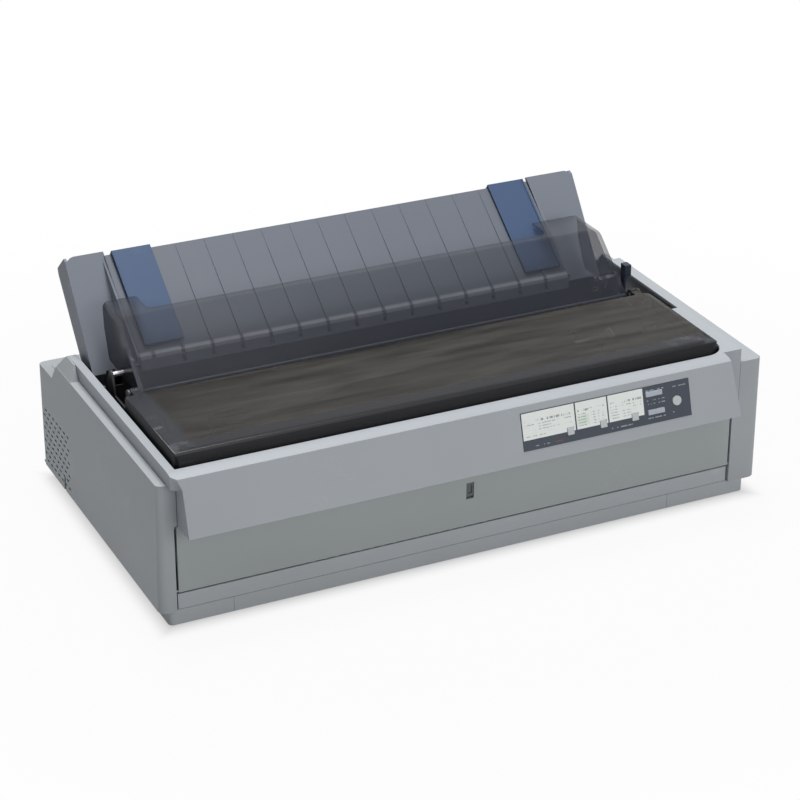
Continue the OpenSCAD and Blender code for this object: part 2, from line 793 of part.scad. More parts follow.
module hinge_pins() {
  color(steel) for (side = [0, 1]) {
    inner = side == 0 ? frame_l + frame_t : frame_r;
    s = side == 0 ? 1 : -1;
    pin_between(inner, inner + s * (arm_gap + arm_w), hinge_y, hinge_z);
    pin_between(inner, inner + s * 18, flap_pin_y, flap_pin_z);
    outer = side == 0 ? frame_l : frame_r + frame_t;
    pin_between(outer, outer - s * 5.5, guide_pin_y, guide_pin_z);
  }
}

module pin_between(a, b, y, z) {
  bar_x(min(a, b), max(a, b), y, z, pin_r);
}

// ---- paper guide ---------------------------------------------------------

// stands children on the guide's front plane: Y up its slope, Z out of it
module on_guide() {
  translate([0, guide_y, guide_foot_z]) rotate([90 - guide_lean, 0, 0]) children();
}

// stands children on the ribbed sheet: Y up its slope, Z out of it
module on_sheet() {
  translate([0, sheet_y, sheet_z]) rotate([sheet_slope, 0, 0]) children();
}

guide_low = 23;
wing_corner = 10;

module guide_frame() {
  color(guide_grey) difference() {
    union() {
      // wings with their round outer corners
      on_guide() translate([0, 0, -guide_t]) linear_extrude(guide_t) {
        wing_outline(guide_l, wing_l);
        translate([guide_l + guide_r, 0]) mirror([1, 0]) wing_outline(guide_l, wing_r);
      }
      // flanges down both sides
      for (x = [guide_l, guide_r - guide_t]) on_guide() along_x(x, x + guide_t) flange_outline();
      // inner returns beside the sheet
      for (x = [guide_l + wing_l - guide_t, guide_r - wing_r]) on_guide()
        block([x, -guide_low, -flange_d + 6], [x + guide_t, wing_len - 6, -guide_t + 0.1]);
      // side walls from the wings' inner edges forward to the sheet
      for (x = [guide_l + wing_l - guide_t, guide_r - wing_r]) along_x(x, x + guide_t) side_wall_outline();
      // cross bar behind the sheet, and the backs of the two wings
      on_guide() block([guide_l + wing_l - guide_t, -guide_low, -flange_d + 6],
        [guide_r - wing_r + guide_t, -guide_low + 10, -flange_d + 9]);
      on_guide() block([guide_l + 1, 8, -flange_d + 6], [guide_l + wing_l, wing_len - 30, -flange_d + 8]);
      on_guide() block([guide_r - wing_r, 8, -flange_d + 6], [guide_r - 1, wing_len - 30, -flange_d + 8]);
      bar_x(guide_l, frame_l - 0.4, guide_pin_y, guide_pin_z, 6);
      bar_x(frame_r + frame_t + 0.4, guide_r, guide_pin_y, guide_pin_z, 6);
    }
    bar_x(guide_l - 1, frame_l, guide_pin_y, guide_pin_z, pin_r + run_fit);
    bar_x(frame_r + frame_t, guide_r + 1, guide_pin_y, guide_pin_z, pin_r + run_fit);
  }
}

module wing_outline(x, w) {
  translate([x, -guide_low]) square([w, guide_low + wing_len - wing_corner]);
  translate([x + wing_corner, -guide_low]) square([w - wing_corner, guide_low + wing_len]);
  translate([x + wing_corner, wing_len - wing_corner]) circle(wing_corner);
}

// side outline of the wall between a wing's inner edge and the sheet's line
module side_wall_outline() {
  top = 0.94;
  back = [guide_y + guide_t * 0.6, guide_foot_z];
  up = [sin(guide_lean), cos(guide_lean)];
  polygon([[sheet_y, sheet_z], [sheet_y, sheet_z - 5], back - 7 * up, back + wing_len * top * up,
    [sheet_y + sheet_run * top, sheet_z + sheet_rise * top]]);
}

// side outline of a flange in the guide's own frame
module flange_outline() {
  polygon([[-guide_low, 0], [wing_len - 4, 0], [wing_len, -3], [wing_len - 2, -flange_d - 4],
    [wing_len - 8, -flange_d - 6], [-guide_low + 8, -flange_d], [-guide_low, -flange_d + 6]]);
}

sheet_t = 2;

module guide_panel() {
  color([0.5, 0.53, 0.57]) {
    on_sheet() {
      block([sheet_l, 0, -sheet_t], [sheet_r, sheet_len, 0]);
      for (k = [-6.5 : 6.5]) translate([rib_mid + k * rib_pitch, 0, 0])
        along_x(-0.8, 0.8) polygon([[4, -0.1], [4, rib_h], [sheet_len - 1, rib_top_h], [sheet_len - 1, -0.1]]);
    }
    // apron below the crease with its slots
    difference() {
      along_x(sheet_l, sheet_r) polygon([[sheet_y, sheet_z], [sheet_y - 4, sheet_z - 13],
        [sheet_y - 1.9, sheet_z - 13], [sheet_y + 3, sheet_z]]);
      for (k = [-6.5 : 6.5]) translate([rib_mid + k * rib_pitch - slot_w / 2, sheet_y - 9, sheet_z - 11])
        cube([slot_w, 20, 8]);
    }
    // feet that reach back to the frame's cross bar
    for (x = [sheet_l + 60, (sheet_l + sheet_r) / 2, sheet_r - 60])
      on_sheet() block([x - 6, 20, -24], [x + 6, 34, -sheet_t]);
  }
}

blade_low = 10;

module edge_blade(x, outer) {
  on_sheet() {
    z0 = rib_h + blade_clear;
    block([x, blade_low, z0], [x + edge_guide_w, sheet_len + blade_clear + blade_t, z0 + blade_t]);
    f = outer < 0 ? x : x + edge_guide_w - blade_t;
    block([f, blade_low, z0], [f + blade_t, sheet_len + 1, z0 + fence_h]);
    // hook over the sheet's top edge
    block([x, sheet_len + blade_clear, -sheet_t - blade_clear - blade_t],
      [x + edge_guide_w, sheet_len + blade_clear + blade_t, z0 + blade_t]);
    block([x, sheet_len - 8, -sheet_t - blade_clear - blade_t], [x + edge_guide_w, sheet_len + 1,
      -sheet_t - blade_clear]);
  }
}

module edge_guide_left() {
  color(guide_blue) edge_blade(blade_left_x, -1);
}

module edge_guide_right() {
  color(guide_blue) edge_blade(blade_right_x, 1);
}

// ---- steel frame ---------------------------------------------------------

module frame_outline() {
  polygon([[frame_front_y, floor_z], [frame_front_y, deck_z + 18], [rail_y - 18, deck_z + 22],
    [rail_y - 12, 120],
    [hinge_y - 16, 130], [hinge_y - 4.5, hinge_z - 8], [hinge_y - 4.5, hinge_z], [hinge_y + 4.5, hinge_z],
    [hinge_y + 8, hinge_z - 18], [flap_pin_y - 10, flap_pin_z - 18], [flap_pin_y - 4.5, flap_pin_z],
    [flap_pin_y + 4.5, flap_pin_z], [flap_pin_y + 16, flap_pin_z - 20], [guide_pin_y - 14, guide_pin_z - 12],
    [guide_pin_y - 6, guide_pin_z], [guide_pin_y + 6, guide_pin_z], [guide_pin_y + 10, guide_pin_z - 16],
    [frame_back_y - 4, tractor_z + 34], [frame_back_y, tractor_z + 20], [frame_back_y, floor_z]]);
  translate([hinge_y, hinge_z]) circle(4.5);
  translate([flap_pin_y, flap_pin_z]) circle(4.5);
  translate([guide_pin_y, guide_pin_z]) circle(6);
}

module frame_holes() {
  translate([platen_y, platen_z]) circle(bush_r);
  translate([rod_y, rod_z]) circle(rod_r);
  translate([pinch_y, pinch_z]) circle(pinch_shaft_r + run_fit);
  translate([tractor_y, tractor_z]) circle(tractor_end_r + run_fit);
  translate([trod_y, trod_z]) circle(trod_r);
  // lightening windows
  translate([frame_front_y + 16, floor_z + 18]) square([38, 34]);
  translate([platen_y + 28, floor_z + 16]) square([44, 30]);
}

bush_r = shaft_r + 3;
tractor_end_r = 4;
pinch_r = 6;
pinch_shaft_r = 3;
pinch_dir = 260;
pinch_gap = 0.4;
pinch_y = platen_y + (platen_r + pinch_r + pinch_gap) * cos(pinch_dir);
pinch_z = platen_z + (platen_r + pinch_r + pinch_gap) * sin(pinch_dir);
stud_r = 3;

module side_frame_left() {
  color(steel) {
    along_x(frame_l, frame_l + frame_t) difference() {
      frame_outline();
      frame_holes();
    }
    block([frame_l + frame_t, frame_front_y, floor_z], [frame_l + 14, frame_back_y, floor_z + frame_t]);
    bar_x(frame_l - 4, frame_l, thick_y, thick_z - 8, pin_r);
  }
}

module side_frame_right() {
  color(steel) {
    along_x(frame_r, frame_r + frame_t) difference() {
      frame_outline();
      frame_holes();
      translate([pinion_y, pinion_z]) circle(4);
    }
    block([frame_r - 12, frame_front_y, floor_z], [frame_r, frame_back_y, floor_z + frame_t]);
    // studs of the two idler gears and of the release lever
    bar_x(frame_r + frame_t, gear_x + gear_w + 1, idler_y, idler_z, stud_r);
    bar_x(frame_r + frame_t, gear_x + gear_w + 1, rear_idler_y, rear_idler_z, stud_r);
    bar_x(frame_r + frame_t, release_x + 3, release_y, release_z, pin_r);
  }
}

module cross_beams() {
  color([0.6, 0.61, 0.62]) {
    a = frame_l + frame_t;
    difference() {
      union() {
        block([a, frame_front_y, deck_z], [frame_r, rail_y, deck_z + deck_t]);
        block([a, rail_y, deck_z], [a + 39, rod_y - 12, deck_z + deck_t]);
        block([frame_r - 54, rail_y, deck_z], [frame_r, rod_y - 12, deck_z + deck_t]);
        block([a, frame_front_y, deck_z - 14], [frame_r, frame_front_y + 2, deck_z]);
      }
      bar_z(drive_x, belt_y, deck_z - 1, deck_z + deck_t + 1, 3);
    }
    bar_z(idler_x, belt_y, deck_z + deck_t, belt_z + 6, 2.5);
    // beam behind the platen
    block([a, platen_y + 24, 56], [frame_r, platen_y + 54, 58]);
    block([a, platen_y + 24, 46], [frame_r, platen_y + 26, 56]);
    // paper pan, in two strips with the pinch rollers between them
    along_x(a, frame_r) pan_arc(215, 242);
    along_x(a, frame_r) pan_arc(278, 338);
    // chute that leads a sheet from the guide's apron down to the platen
    // with a notch for each of the flap's cheeks
    difference() {
      along_x(a, frame_r) chute_outline();
      for (x = [flap_l - 4, flap_r - 3.5])
        block([x, chute_top_y - 9, chute_foot_z + 40], [x + 7.5, chute_top_y + 9, chute_top_z + 1]);
    }
  }
}

// side outline of the paper chute
module chute_outline() {
  polygon([[chute_foot_y, chute_foot_z], [chute_top_y, chute_top_z], [chute_top_y + chute_t, chute_top_z],
    [chute_foot_y + chute_t, chute_foot_z]]);
}

module pan_arc(from, to) {
  translate([platen_y, platen_z]) intersection() {
    difference() {
      circle(platen_r + 4, $fn = 96);
      circle(platen_r + 2.6, $fn = 96);
    }
    polygon([[0, 0], [60 * cos(from), 60 * sin(from)], [60 * cos((from + to) / 2), 60 * sin((from + to) / 2)],
      [60 * cos(to), 60 * sin(to)]]);
  }
}

// ---- platen and feed -----------------------------------------------------

module platen_roller() {
  color(rubber_black) difference() {
    bar_x(platen_l, platen_end, platen_y, platen_z, platen_r, $fn = 96);
    bar_x(platen_l - 1, platen_end + 1, platen_y, platen_z, shaft_r);
  }
}

module platen_shaft() {
  color(steel) bar_x(frame_l - 4, x_right + knob_out - 4, platen_y, platen_z, shaft_r);
}

module platen_bushes() {
  color(gear_white) difference() {
    for (side = [0, 1]) {
      a = side == 0 ? frame_l : frame_r;
      inner = side == 0 ? frame_l + frame_t : frame_r - 2;
      bar_x(a - 1, a + frame_t + 1, platen_y, platen_z, bush_r);
      bar_x(inner, inner + 2, platen_y, platen_z, bush_r + 2.5);
    }
    bar_x(frame_l - 9, frame_r + 9, platen_y, platen_z, shaft_r + run_fit);
  }
}

module platen_knob() {
  x0 = x_right + 0.8;
  color(dark_plastic) difference() {
    union() {
      bar_x(x0, x_right + knob_out - 1.5, platen_y, platen_z, 20);
      bar_x(x0 + 2, x_right + knob_out, platen_y, platen_z, 18);
    }
    bar_x(x0 - 1, x_right + knob_out - 4, platen_y, platen_z, shaft_r);
    for (k = [0 : 15]) translate([0, platen_y, platen_z]) rotate([k * 22.5, 0, 0])
      bar_x(x0 + 2, x_right + knob_out + 1, 21, 0, 2.2);
  }
}

module platen_gear() {
  color(gear_white) {
    gear_x_axis(gear_x, gear_w, platen_y, platen_z, platen_teeth, 0, shaft_r);
    difference() {
      bar_x(gear_x + gear_w, gear_x + gear_w + 5, platen_y, platen_z, shaft_r + 4);
      bar_x(gear_x, gear_x + gear_w + 6, platen_y, platen_z, shaft_r);
    }
  }
}

module feed_idler_gear() {
  color(gear_white) gear_x_axis(gear_x, gear_w, idler_y, idler_z, idler_teeth, idler_phase, stud_r + run_fit);
}

module tractor_idler_gear() {
  color(gear_white)
    gear_x_axis(gear_x, gear_w, rear_idler_y, rear_idler_z, rear_idler_teeth, rear_idler_phase,
      stud_r + run_fit);
}

module tractor_gear() {
  color(gear_white) gear_x_axis(gear_x, gear_w, tractor_y, tractor_z, tractor_teeth, tractor_phase,
    tractor_end_r);
}

motor_shaft_r = 2;

module feed_pinion() {
  color(steel) {
    gear_x_axis(gear_x, gear_w, pinion_y, pinion_z, pinion_teeth, pinion_phase, motor_shaft_r);
    bar_x(frame_r - 20, gear_x + gear_w + 1, pinion_y, pinion_z, motor_shaft_r);
  }
}

module feed_motor() {
  color([0.3, 0.31, 0.33]) difference() {
    union() {
      bar_x(frame_r - 28, frame_r, pinion_y, pinion_z, motor_r);
      block([frame_r - 2, pinion_y - motor_r, pinion_z - 26], [frame_r, pinion_y + motor_r, pinion_z]);
    }
    bar_x(frame_r - 24, frame_r + 1, pinion_y, pinion_z, motor_shaft_r + run_fit);
  }
}

module pressure_rollers() {
  color([0.2, 0.2, 0.2]) {
    bar_x(frame_l - 1, frame_r + frame_t + 1, pinch_y, pinch_z, pinch_shaft_r);
    for (k = [0 : 4]) bar_x(platen_l + 20 + k * 93, platen_l + 48 + k * 93, pinch_y, pinch_z, pinch_r);
  }
}

// ---- tractors ------------------------------------------------------------

module tractor_shaft() {
  color(steel) {
    block([frame_l + frame_t + 3, tractor_y - square_side / 2, tractor_z - square_side / 2],
      [frame_r - 3, tractor_y + square_side / 2, tractor_z + square_side / 2]);
    bar_x(frame_l - 2, frame_l + frame_t + 3, tractor_y, tractor_z, tractor_end_r);
    bar_x(frame_r - 3, gear_x + gear_w + 2, tractor_y, tractor_z, tractor_end_r);
  }
}

module tractor_rod() {
  color(steel) bar_x(frame_l - 1, frame_r + frame_t + 1, trod_y, trod_z, trod_r);
}

tractor_body_r = 12;
tractor_deck = tractor_z + tractor_body_r;
tcover_z = tractor_deck + 0.6;
tcover_t = 2;
thinge_out = 2.6;
thinge_z = tcover_z + 0.6;
thinge_r = 2;
thinge_pin = 0.9;

// body with its pin track; hinge -1 puts the cover's hinge on the left
module tractor(x, hinge) {
  h = hinge < 0 ? x - thinge_out : x + tractor_w + thinge_out;
  color([0.22, 0.24, 0.27]) difference() {
    union() {
      along_x(x, x + tractor_w) difference() {
        union() {
          translate([tractor_y, tractor_z]) circle(tractor_body_r);
          translate([trod_y, trod_z]) circle(tractor_body_r - 2);
          polygon([[tractor_y, tractor_z - tractor_body_r], [tractor_y, tractor_deck], [trod_y, tractor_deck],
            [trod_y + 6, trod_z + 8], [trod_y, trod_z - tractor_body_r + 2]]);
        }
      }
      // ears and pin of the cover's hinge
      for (y = [tractor_y - 1, trod_y - 6])
        block([min(h - thinge_r, x), y, tractor_deck - 6], [max(h + thinge_r, x + tractor_w), y + 3,
          tractor_deck]);
      for (y = [tractor_y - 1, trod_y - 6])
        block([h - 1.6, y, tractor_deck - 1], [h + 1.6, y + 3, thinge_z + 1.6]);
      translate([h, 0, thinge_z]) rotate([-90, 0, 0])
        translate([0, 0, tractor_y]) cylinder(h = trod_y - 4 - tractor_y, r = thinge_pin);
      // pins of the drive belt
      for (k = [0 : 2]) bar_z(x + tractor_w / 2, tractor_y + 3 + k * 12.7, tractor_deck - 1, tcover_z + 1,
        1.3);
    }
    bar_x(x - 9, x + tractor_w + 9, tractor_y, tractor_z, square_clear);
    bar_x(x - 9, x + tractor_w + 9, trod_y, trod_z, trod_r + run_fit);
  }
}

module tractor_cover(x, hinge) {
  h = hinge < 0 ? x - thinge_out : x + tractor_w + thinge_out;
  a = tractor_y + 2.4;
  b = trod_y - 6.4;
  color([0.16, 0.17, 0.19]) difference() {
    union() {
      block([x + 0.5, tractor_y - 2, tcover_z], [x + tractor_w - 0.5, trod_y + 2, tcover_z + tcover_t]);
      block([min(h, x + 1), a, tcover_z], [max(h, x + tractor_w - 1), b, tcover_z + 1.4]);
      translate([h, a, thinge_z]) rotate([-90, 0, 0]) cylinder(h = b - a, r = thinge_r);
    }
    block([x + tractor_w / 2 - 2, tractor_y, tcover_z - 1], [x + tractor_w / 2 + 2, trod_y - 2,
      tcover_z + tcover_t + 1]);
    translate([h, a - 1, thinge_z]) rotate([-90, 0, 0]) cylinder(h = b - a + 2, r = thinge_pin + run_fit);
  }
}

module tractor_left() { tractor(tractor_l_x, -1); }
module tractor_right() { tractor(tractor_r_x, 1); }
module tractor_cover_left() { tractor_cover(tractor_l_x, -1); }
module tractor_cover_right() { tractor_cover(tractor_r_x, 1); }

// ---- carriage ------------------------------------------------------------

module carriage_rod() {
  color(steel) bar_x(frame_l - 2, frame_r + frame_t + 2, rod_y, rod_z, rod_r);
}

module carriage_rail() {
  color([0.6, 0.61, 0.62]) block([frame_l + frame_t, rail_y - 3.5, deck_z + deck_t], [frame_r, rail_y,
    rail_z]);
}

arm_z = rail_z + 0.4;
arm_t = 3;
clamp_gap = 0.4;

module carriage() {
  x = carriage_x;
  color(dark_plastic) difference() {
    union() {
      block([x - carriage_w / 2, rod_y - 15, rod_z - 11], [x + carriage_w / 2, rod_y + 11, rod_z + 12]);
      block([x - 22, rod_y - 15, rod_z + 11], [x + 22, rod_y + 1, arm_z + arm_t]);
      block([x - 22, rail_y - 7, arm_z], [x + 22, rod_y + 1, arm_z + arm_t]);
      block([x - 8, belt_y + 4.6, belt_z - 2], [x + 8, rod_y - 14, arm_z + 1]);
      // hook under the arm, in front of the rail
      block([x - 14, rail_y - 7, arm_z - 5], [x + 14, rail_y - 4.2, arm_z + 1]);
    }
    bar_x(x - carriage_w, x + carriage_w, rod_y, rod_z, rod_r + run_fit);
    // the belt passes through the clamp
    block([x - 9, belt_y + pulley_r - clamp_gap, belt_z - 9],
      [x + 9, belt_y + pulley_r + belt_t + clamp_gap + 0.1, belt_z + belt_h / 2 + clamp_gap]);
  }
}

module print_head() {
  x = carriage_x;
  color([0.25, 0.26, 0.28]) {
    z0 = arm_z + arm_t;
    block([x - 14, rod_y - 15, z0], [x + 14, rod_y - 2, z0 + 30]);
    for (k = [0 : 6]) block([x - 18, rod_y - 17, z0 + 3 + k * 4], [x + 18, rod_y, z0 + 5 + k * 4]);
    along_x(x - 7, x + 7) polygon([[rod_y - 3, z0], [rod_y - 3, z0 + 22], [rod_y + 8, z0 + 16],
      [ribbon_y - 0.35, z0 + 7], [ribbon_y - 0.35, platen_z - 5], [rod_y + 4, z0 - 4], [rod_y + 1.2, z0 - 4],
      [rod_y + 1.2, z0]]);
  }
}

module belt_outline(r) {
  translate([idler_x, belt_y]) circle(r);
  translate([drive_x, belt_y]) circle(r);
  translate([idler_x, belt_y - r]) square([drive_x - idler_x, 2 * r]);
}

module timing_belt() {
  color(rubber_black) translate([0, 0, belt_z - belt_h / 2]) linear_extrude(belt_h) difference() {
    belt_outline(pulley_r + run_fit + belt_t);
    belt_outline(pulley_r + run_fit);
  }
}

module pulley(x, bore) {
  difference() {
    union() {
      bar_z(x, belt_y, belt_z - belt_h / 2 - 1.4, belt_z + belt_h / 2 + 1.4, pulley_r);
      bar_z(x, belt_y, belt_z - belt_h / 2 - 1.4, belt_z - belt_h / 2 - 0.4, pulley_r + 2);
      bar_z(x, belt_y, belt_z + belt_h / 2 + 0.4, belt_z + belt_h / 2 + 1.4, pulley_r + 2);
    }
    bar_z(x, belt_y, belt_z - 20, belt_z + 20, bore);
  }
}

module drive_pulley() {
  color(steel) {
    pulley(drive_x, motor_shaft_r);
    bar_z(drive_x, belt_y, deck_z - 20, belt_z + 5, motor_shaft_r);
  }
}

module idler_pulley() {
  color(gear_white) pulley(idler_x, 2.5 + run_fit);
}

module carriage_motor() {
  color([0.3, 0.31, 0.33]) difference() {
    bar_z(drive_x, belt_y, deck_z - motor_h, deck_z, motor_r);
    bar_z(drive_x, belt_y, deck_z - 24, deck_z + 1, motor_shaft_r + run_fit);
  }
}

// ---- ribbon --------------------------------------------------------------

ribbon_arm = 19;
ribbon_w = 13;
rknob_x = rib_l + 62;
rknob_y = rib_y0 + 30;
rshaft_r = 3;

module ribbon_cartridge() {
  color([0.12, 0.13, 0.15]) difference() {
    union() {
      translate([rib_l, rib_y0, rib_z]) linear_extrude(rib_h2) rounded(rib_r - rib_l, rib_y1 - rib_y0, 6);
      for (x = [rib_l, rib_r - ribbon_arm])
        block([x, rib_y1 - 10, arm_z + 1.5], [x + ribbon_arm, ribbon_y + ribbon_t, arm_z + 13]);
      for (x = [rib_l, rib_r - ribbon_arm])
        block([x, rib_y1 - 10, rib_z + rib_h2 - 1], [x + ribbon_arm, rib_y1, arm_z + 13]);
      block([rib_l + ribbon_arm - 1, ribbon_y, ribbon_z], [rib_r - ribbon_arm + 1, ribbon_y + ribbon_t,
        ribbon_z + ribbon_w]);
    }
    block([rib_l + 2, rib_y0 + 2, rib_z + 2], [rib_r - 2, rib_y1 - 12, rib_z + rib_h2 - 2]);
    bar_z(rknob_x, rknob_y, rib_z + rib_h2 - 3, rib_z + rib_h2 + 1, rshaft_r + run_fit);
  }
}

module ribbon_knob() {
  z0 = rib_z + rib_h2 + 0.4;
  color([0.3, 0.42, 0.55]) {
    difference() {
      bar_z(rknob_x, rknob_y, z0, z0 + 7, 10);
      for (k = [0 : 11]) translate([rknob_x, rknob_y, z0 + 1]) rotate(k * 30) translate([11, 0, 0])
        cylinder(h = 7, r = 2);
    }
    bar_z(rknob_x, rknob_y, rib_z + 6, z0 + 1, rshaft_r);
  }
}

// ---- levers --------------------------------------------------------------

module release_lever() {
  color([0.24, 0.28, 0.34]) difference() {
    union() {
      along_x(release_x, release_x + 2) {
        translate([release_y, release_z]) circle(6);
        translate([release_y - 3.5, release_z]) square([7, release_len - 8]);
      }
      block([release_x, release_y - 4.5, release_z + release_len - 12], [release_x + 7, release_y + 4.5,
        release_z + release_len]);
    }
    bar_x(release_x - 1, release_x + 4, release_y, release_z, pin_r + run_fit);
  }
}

module thickness_lever() {
  z0 = thick_z - 8;
  color([0.3, 0.42, 0.55]) difference() {
    union() {
      along_x(frame_l - 3, frame_l - 0.6) {
        translate([thick_y, z0]) circle(6);
        translate([thick_y - 3, z0]) square([6, 30]);
      }
      block([frame_l - 3, thick_y - 4, z0 + 26], [frame_l + 2, thick_y + 4, z0 + 36]);
    }
    bar_x(frame_l - 5, frame_l, thick_y, z0, pin_r + run_fit);
  }
}

// ---- electrics -----------------------------------------------------------

board_z = floor_z + 6;
board_t = 1.6;
board_top = board_z + board_t;
board_l = frame_l + 21;
board_r = board_l + 280;
board_back = y_rear - 20.5;
board_front = board_back - 200;
supply_r = frame_r - 13;
supply_l = supply_r - 186;
supply_back = y_rear - 30.5;
supply_front = supply_back - 98;

module main_board() {
  color(board_green) {
    block([board_l, board_front, board_z], [board_r, board_back, board_top]);
    for (x = [board_l + 8, board_r - 8], y = [board_front + 8, board_front + 100, board_back - 14])
      bar_z(x, y, floor_z, board_z, 3);
    for (x = [40, 100, 160], y = [40, 100])
      block([board_l + x, board_front + y, board_top], [board_l + x + 34, board_front + y + 22,
        board_top + 3.4]);
    block([board_r - 70, board_front + 60, board_top], [board_r - 30, board_front + 100, board_top + 3.4]);
    for (x = [30, 50, 70]) bar_z(board_r - x, board_front + 140, board_top, board_top + 16.4, 6);
    block([board_l + 20, board_front + 6, board_top], [board_r - 70, board_front + 14, board_top + 7.4]);
  }
}

module data_ports() {
  color([0.18, 0.19, 0.2]) difference() {
    block([port_x, y_rear - 26, board_top], [port_x + port_w, y_rear - 0.5, port_z + port_h]);
    block([port_x + 6, y_rear - 12, port_z + 4], [port_x + 62, y_rear + 1, port_z + 18]);
    block([port_x + 72, y_rear - 12, port_z + 4], [port_x + 88, y_rear + 1, port_z + 16]);
    block([port_x - 1, y_rear - 18, board_z], [port_x + port_w + 1, y_rear + 1, port_z]);
  }
}

module power_supply() {
  color([0.35, 0.36, 0.34]) {
    block([supply_l, supply_front, board_z], [supply_r, supply_back, board_top]);
    for (x = [supply_l + 8, supply_r - 8], y = [supply_front + 8, supply_back - 8]) bar_z(x, y, floor_z,
      board_z, 3);
    block([supply_l + 20, supply_front + 18, board_top], [supply_l + 70, supply_front + 64,
      board_top + 32.4]);
    block([supply_l + 80, supply_front + 12, board_top], [supply_l + 83, supply_front + 88,
      board_top + 28.4]);
    for (y = [20, 46, 72]) bar_z(supply_l + 106, supply_front + y, board_top, board_top + 30.4, 10);
    block([supply_r - 56, supply_front + 18, board_top], [supply_r - 14, supply_front + 32,
      board_top + 24.4]);
  }
}

// one moulded module holds the inlet and the frame of the switch
module power_inlet() {
  face = y_rear - 0.4;
  back = y_rear - wall;
  zc = inlet_z + inlet_h / 2;
  color([0.1, 0.1, 0.11]) {
    difference() {
      union() {
        block([inlet_x, back - 20, inlet_z], [inlet_x + inlet_w, face, inlet_z + inlet_h]);
        block([switch_x, back - 20, inlet_z], [switch_x + switch_w, face, inlet_z + inlet_h]);
        block([inlet_x - 4, back - 2, inlet_z - 4], [switch_x + switch_w + 4, back, inlet_z + inlet_h + 4]);
        block([inlet_x + 4, back - 20, floor_z], [inlet_x + 12, back - 12, inlet_z]);
      }
      block([inlet_x + 3, face - 14, inlet_z + 3], [inlet_x + inlet_w - 3, face + 1, inlet_z + inlet_h - 3]);
      block([switch_x + 1.5, face - 12, inlet_z + 1.5], [switch_x + switch_w - 1.5, face + 1,
        inlet_z + inlet_h - 1.5]);
    }
    for (k = [-1 : 1]) block([inlet_x + inlet_w / 2 + k * 7 - 1, face - 14.5, zc - 2 - (k == 0 ? 2 : -1)],
      [inlet_x + inlet_w / 2 + k * 7 + 1, face - 3, zc + 2 - (k == 0 ? 2 : -1)]);
    // pivot of the rocker
    bar_x(switch_x + 1, switch_x + switch_w - 1, face - 6, zc, 1);
  }
}

rocker_rest = 6;

module power_switch() {
  face = y_rear - 0.4;
  zc = inlet_z + inlet_h / 2;
  color([0.08, 0.08, 0.09]) translate([0, face - 6, zc]) rotate([rocker_rest, 0, 0]) difference() {
    along_x(switch_x + 1.9, switch_x + switch_w - 1.9)
      polygon([[-3, -5], [4.5, -8], [4, 0], [4.5, 8], [-3, 5]]);
    bar_x(switch_x, switch_x + switch_w, 0, 0, 1 + run_fit);
  }
}

base_tray();
rubber_feet();
lower_case();
upper_case();
front_cover();
cover_latch();
front_skirt();
printer_cover();
paper_flap();
guide_frame();
guide_panel();
edge_guide_left();
edge_guide_right();
hinge_pins();
side_frame_left();
side_frame_right();
cross_beams();
platen_roller();
platen_shaft();
platen_bushes();
platen_knob();
platen_gear();
feed_idler_gear();
feed_motor();
feed_pinion();
tractor_idler_gear();
tractor_gear();
tractor_shaft();
tractor_rod();
tractor_left();
tractor_right();
tractor_cover_left();
tractor_cover_right();
carriage_rod();
carriage_rail();
carriage();
print_head();
timing_belt();
drive_pulley();
idler_pulley();
carriage_motor();
ribbon_cartridge();
ribbon_knob();
release_lever();
thickness_lever();
control_plate();
label_cards();
key_small_1();
key_small_2();
key_small_3();
key_wide_upper();
key_wide_lower();
key_round();
main_board();
power_supply();
power_inlet();
power_switch();
data_ports();
pressure_rollers();
case_screws();
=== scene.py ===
import bmesh
import bpy
import math
import numpy as np
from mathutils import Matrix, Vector


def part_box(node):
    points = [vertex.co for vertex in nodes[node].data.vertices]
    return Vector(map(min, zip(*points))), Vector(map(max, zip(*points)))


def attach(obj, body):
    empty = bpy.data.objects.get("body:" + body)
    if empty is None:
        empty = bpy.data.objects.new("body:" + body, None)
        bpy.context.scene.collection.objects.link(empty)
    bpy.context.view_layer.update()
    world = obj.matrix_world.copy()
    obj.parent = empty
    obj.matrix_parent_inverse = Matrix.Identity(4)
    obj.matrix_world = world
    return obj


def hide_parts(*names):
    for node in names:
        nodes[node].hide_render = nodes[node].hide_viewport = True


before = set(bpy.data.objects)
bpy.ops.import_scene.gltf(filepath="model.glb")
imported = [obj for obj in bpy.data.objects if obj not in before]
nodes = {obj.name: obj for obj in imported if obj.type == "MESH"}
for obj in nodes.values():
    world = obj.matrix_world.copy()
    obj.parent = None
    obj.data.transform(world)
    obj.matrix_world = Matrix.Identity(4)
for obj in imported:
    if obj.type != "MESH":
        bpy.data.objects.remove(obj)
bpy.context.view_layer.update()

# ---- viewpoint, floor and lamps ----------------------------------------------
# The printer stands on a plain pale sweep, seen from above its front left corner
# through a long lens. Three soft lamps and a pale sky light it.


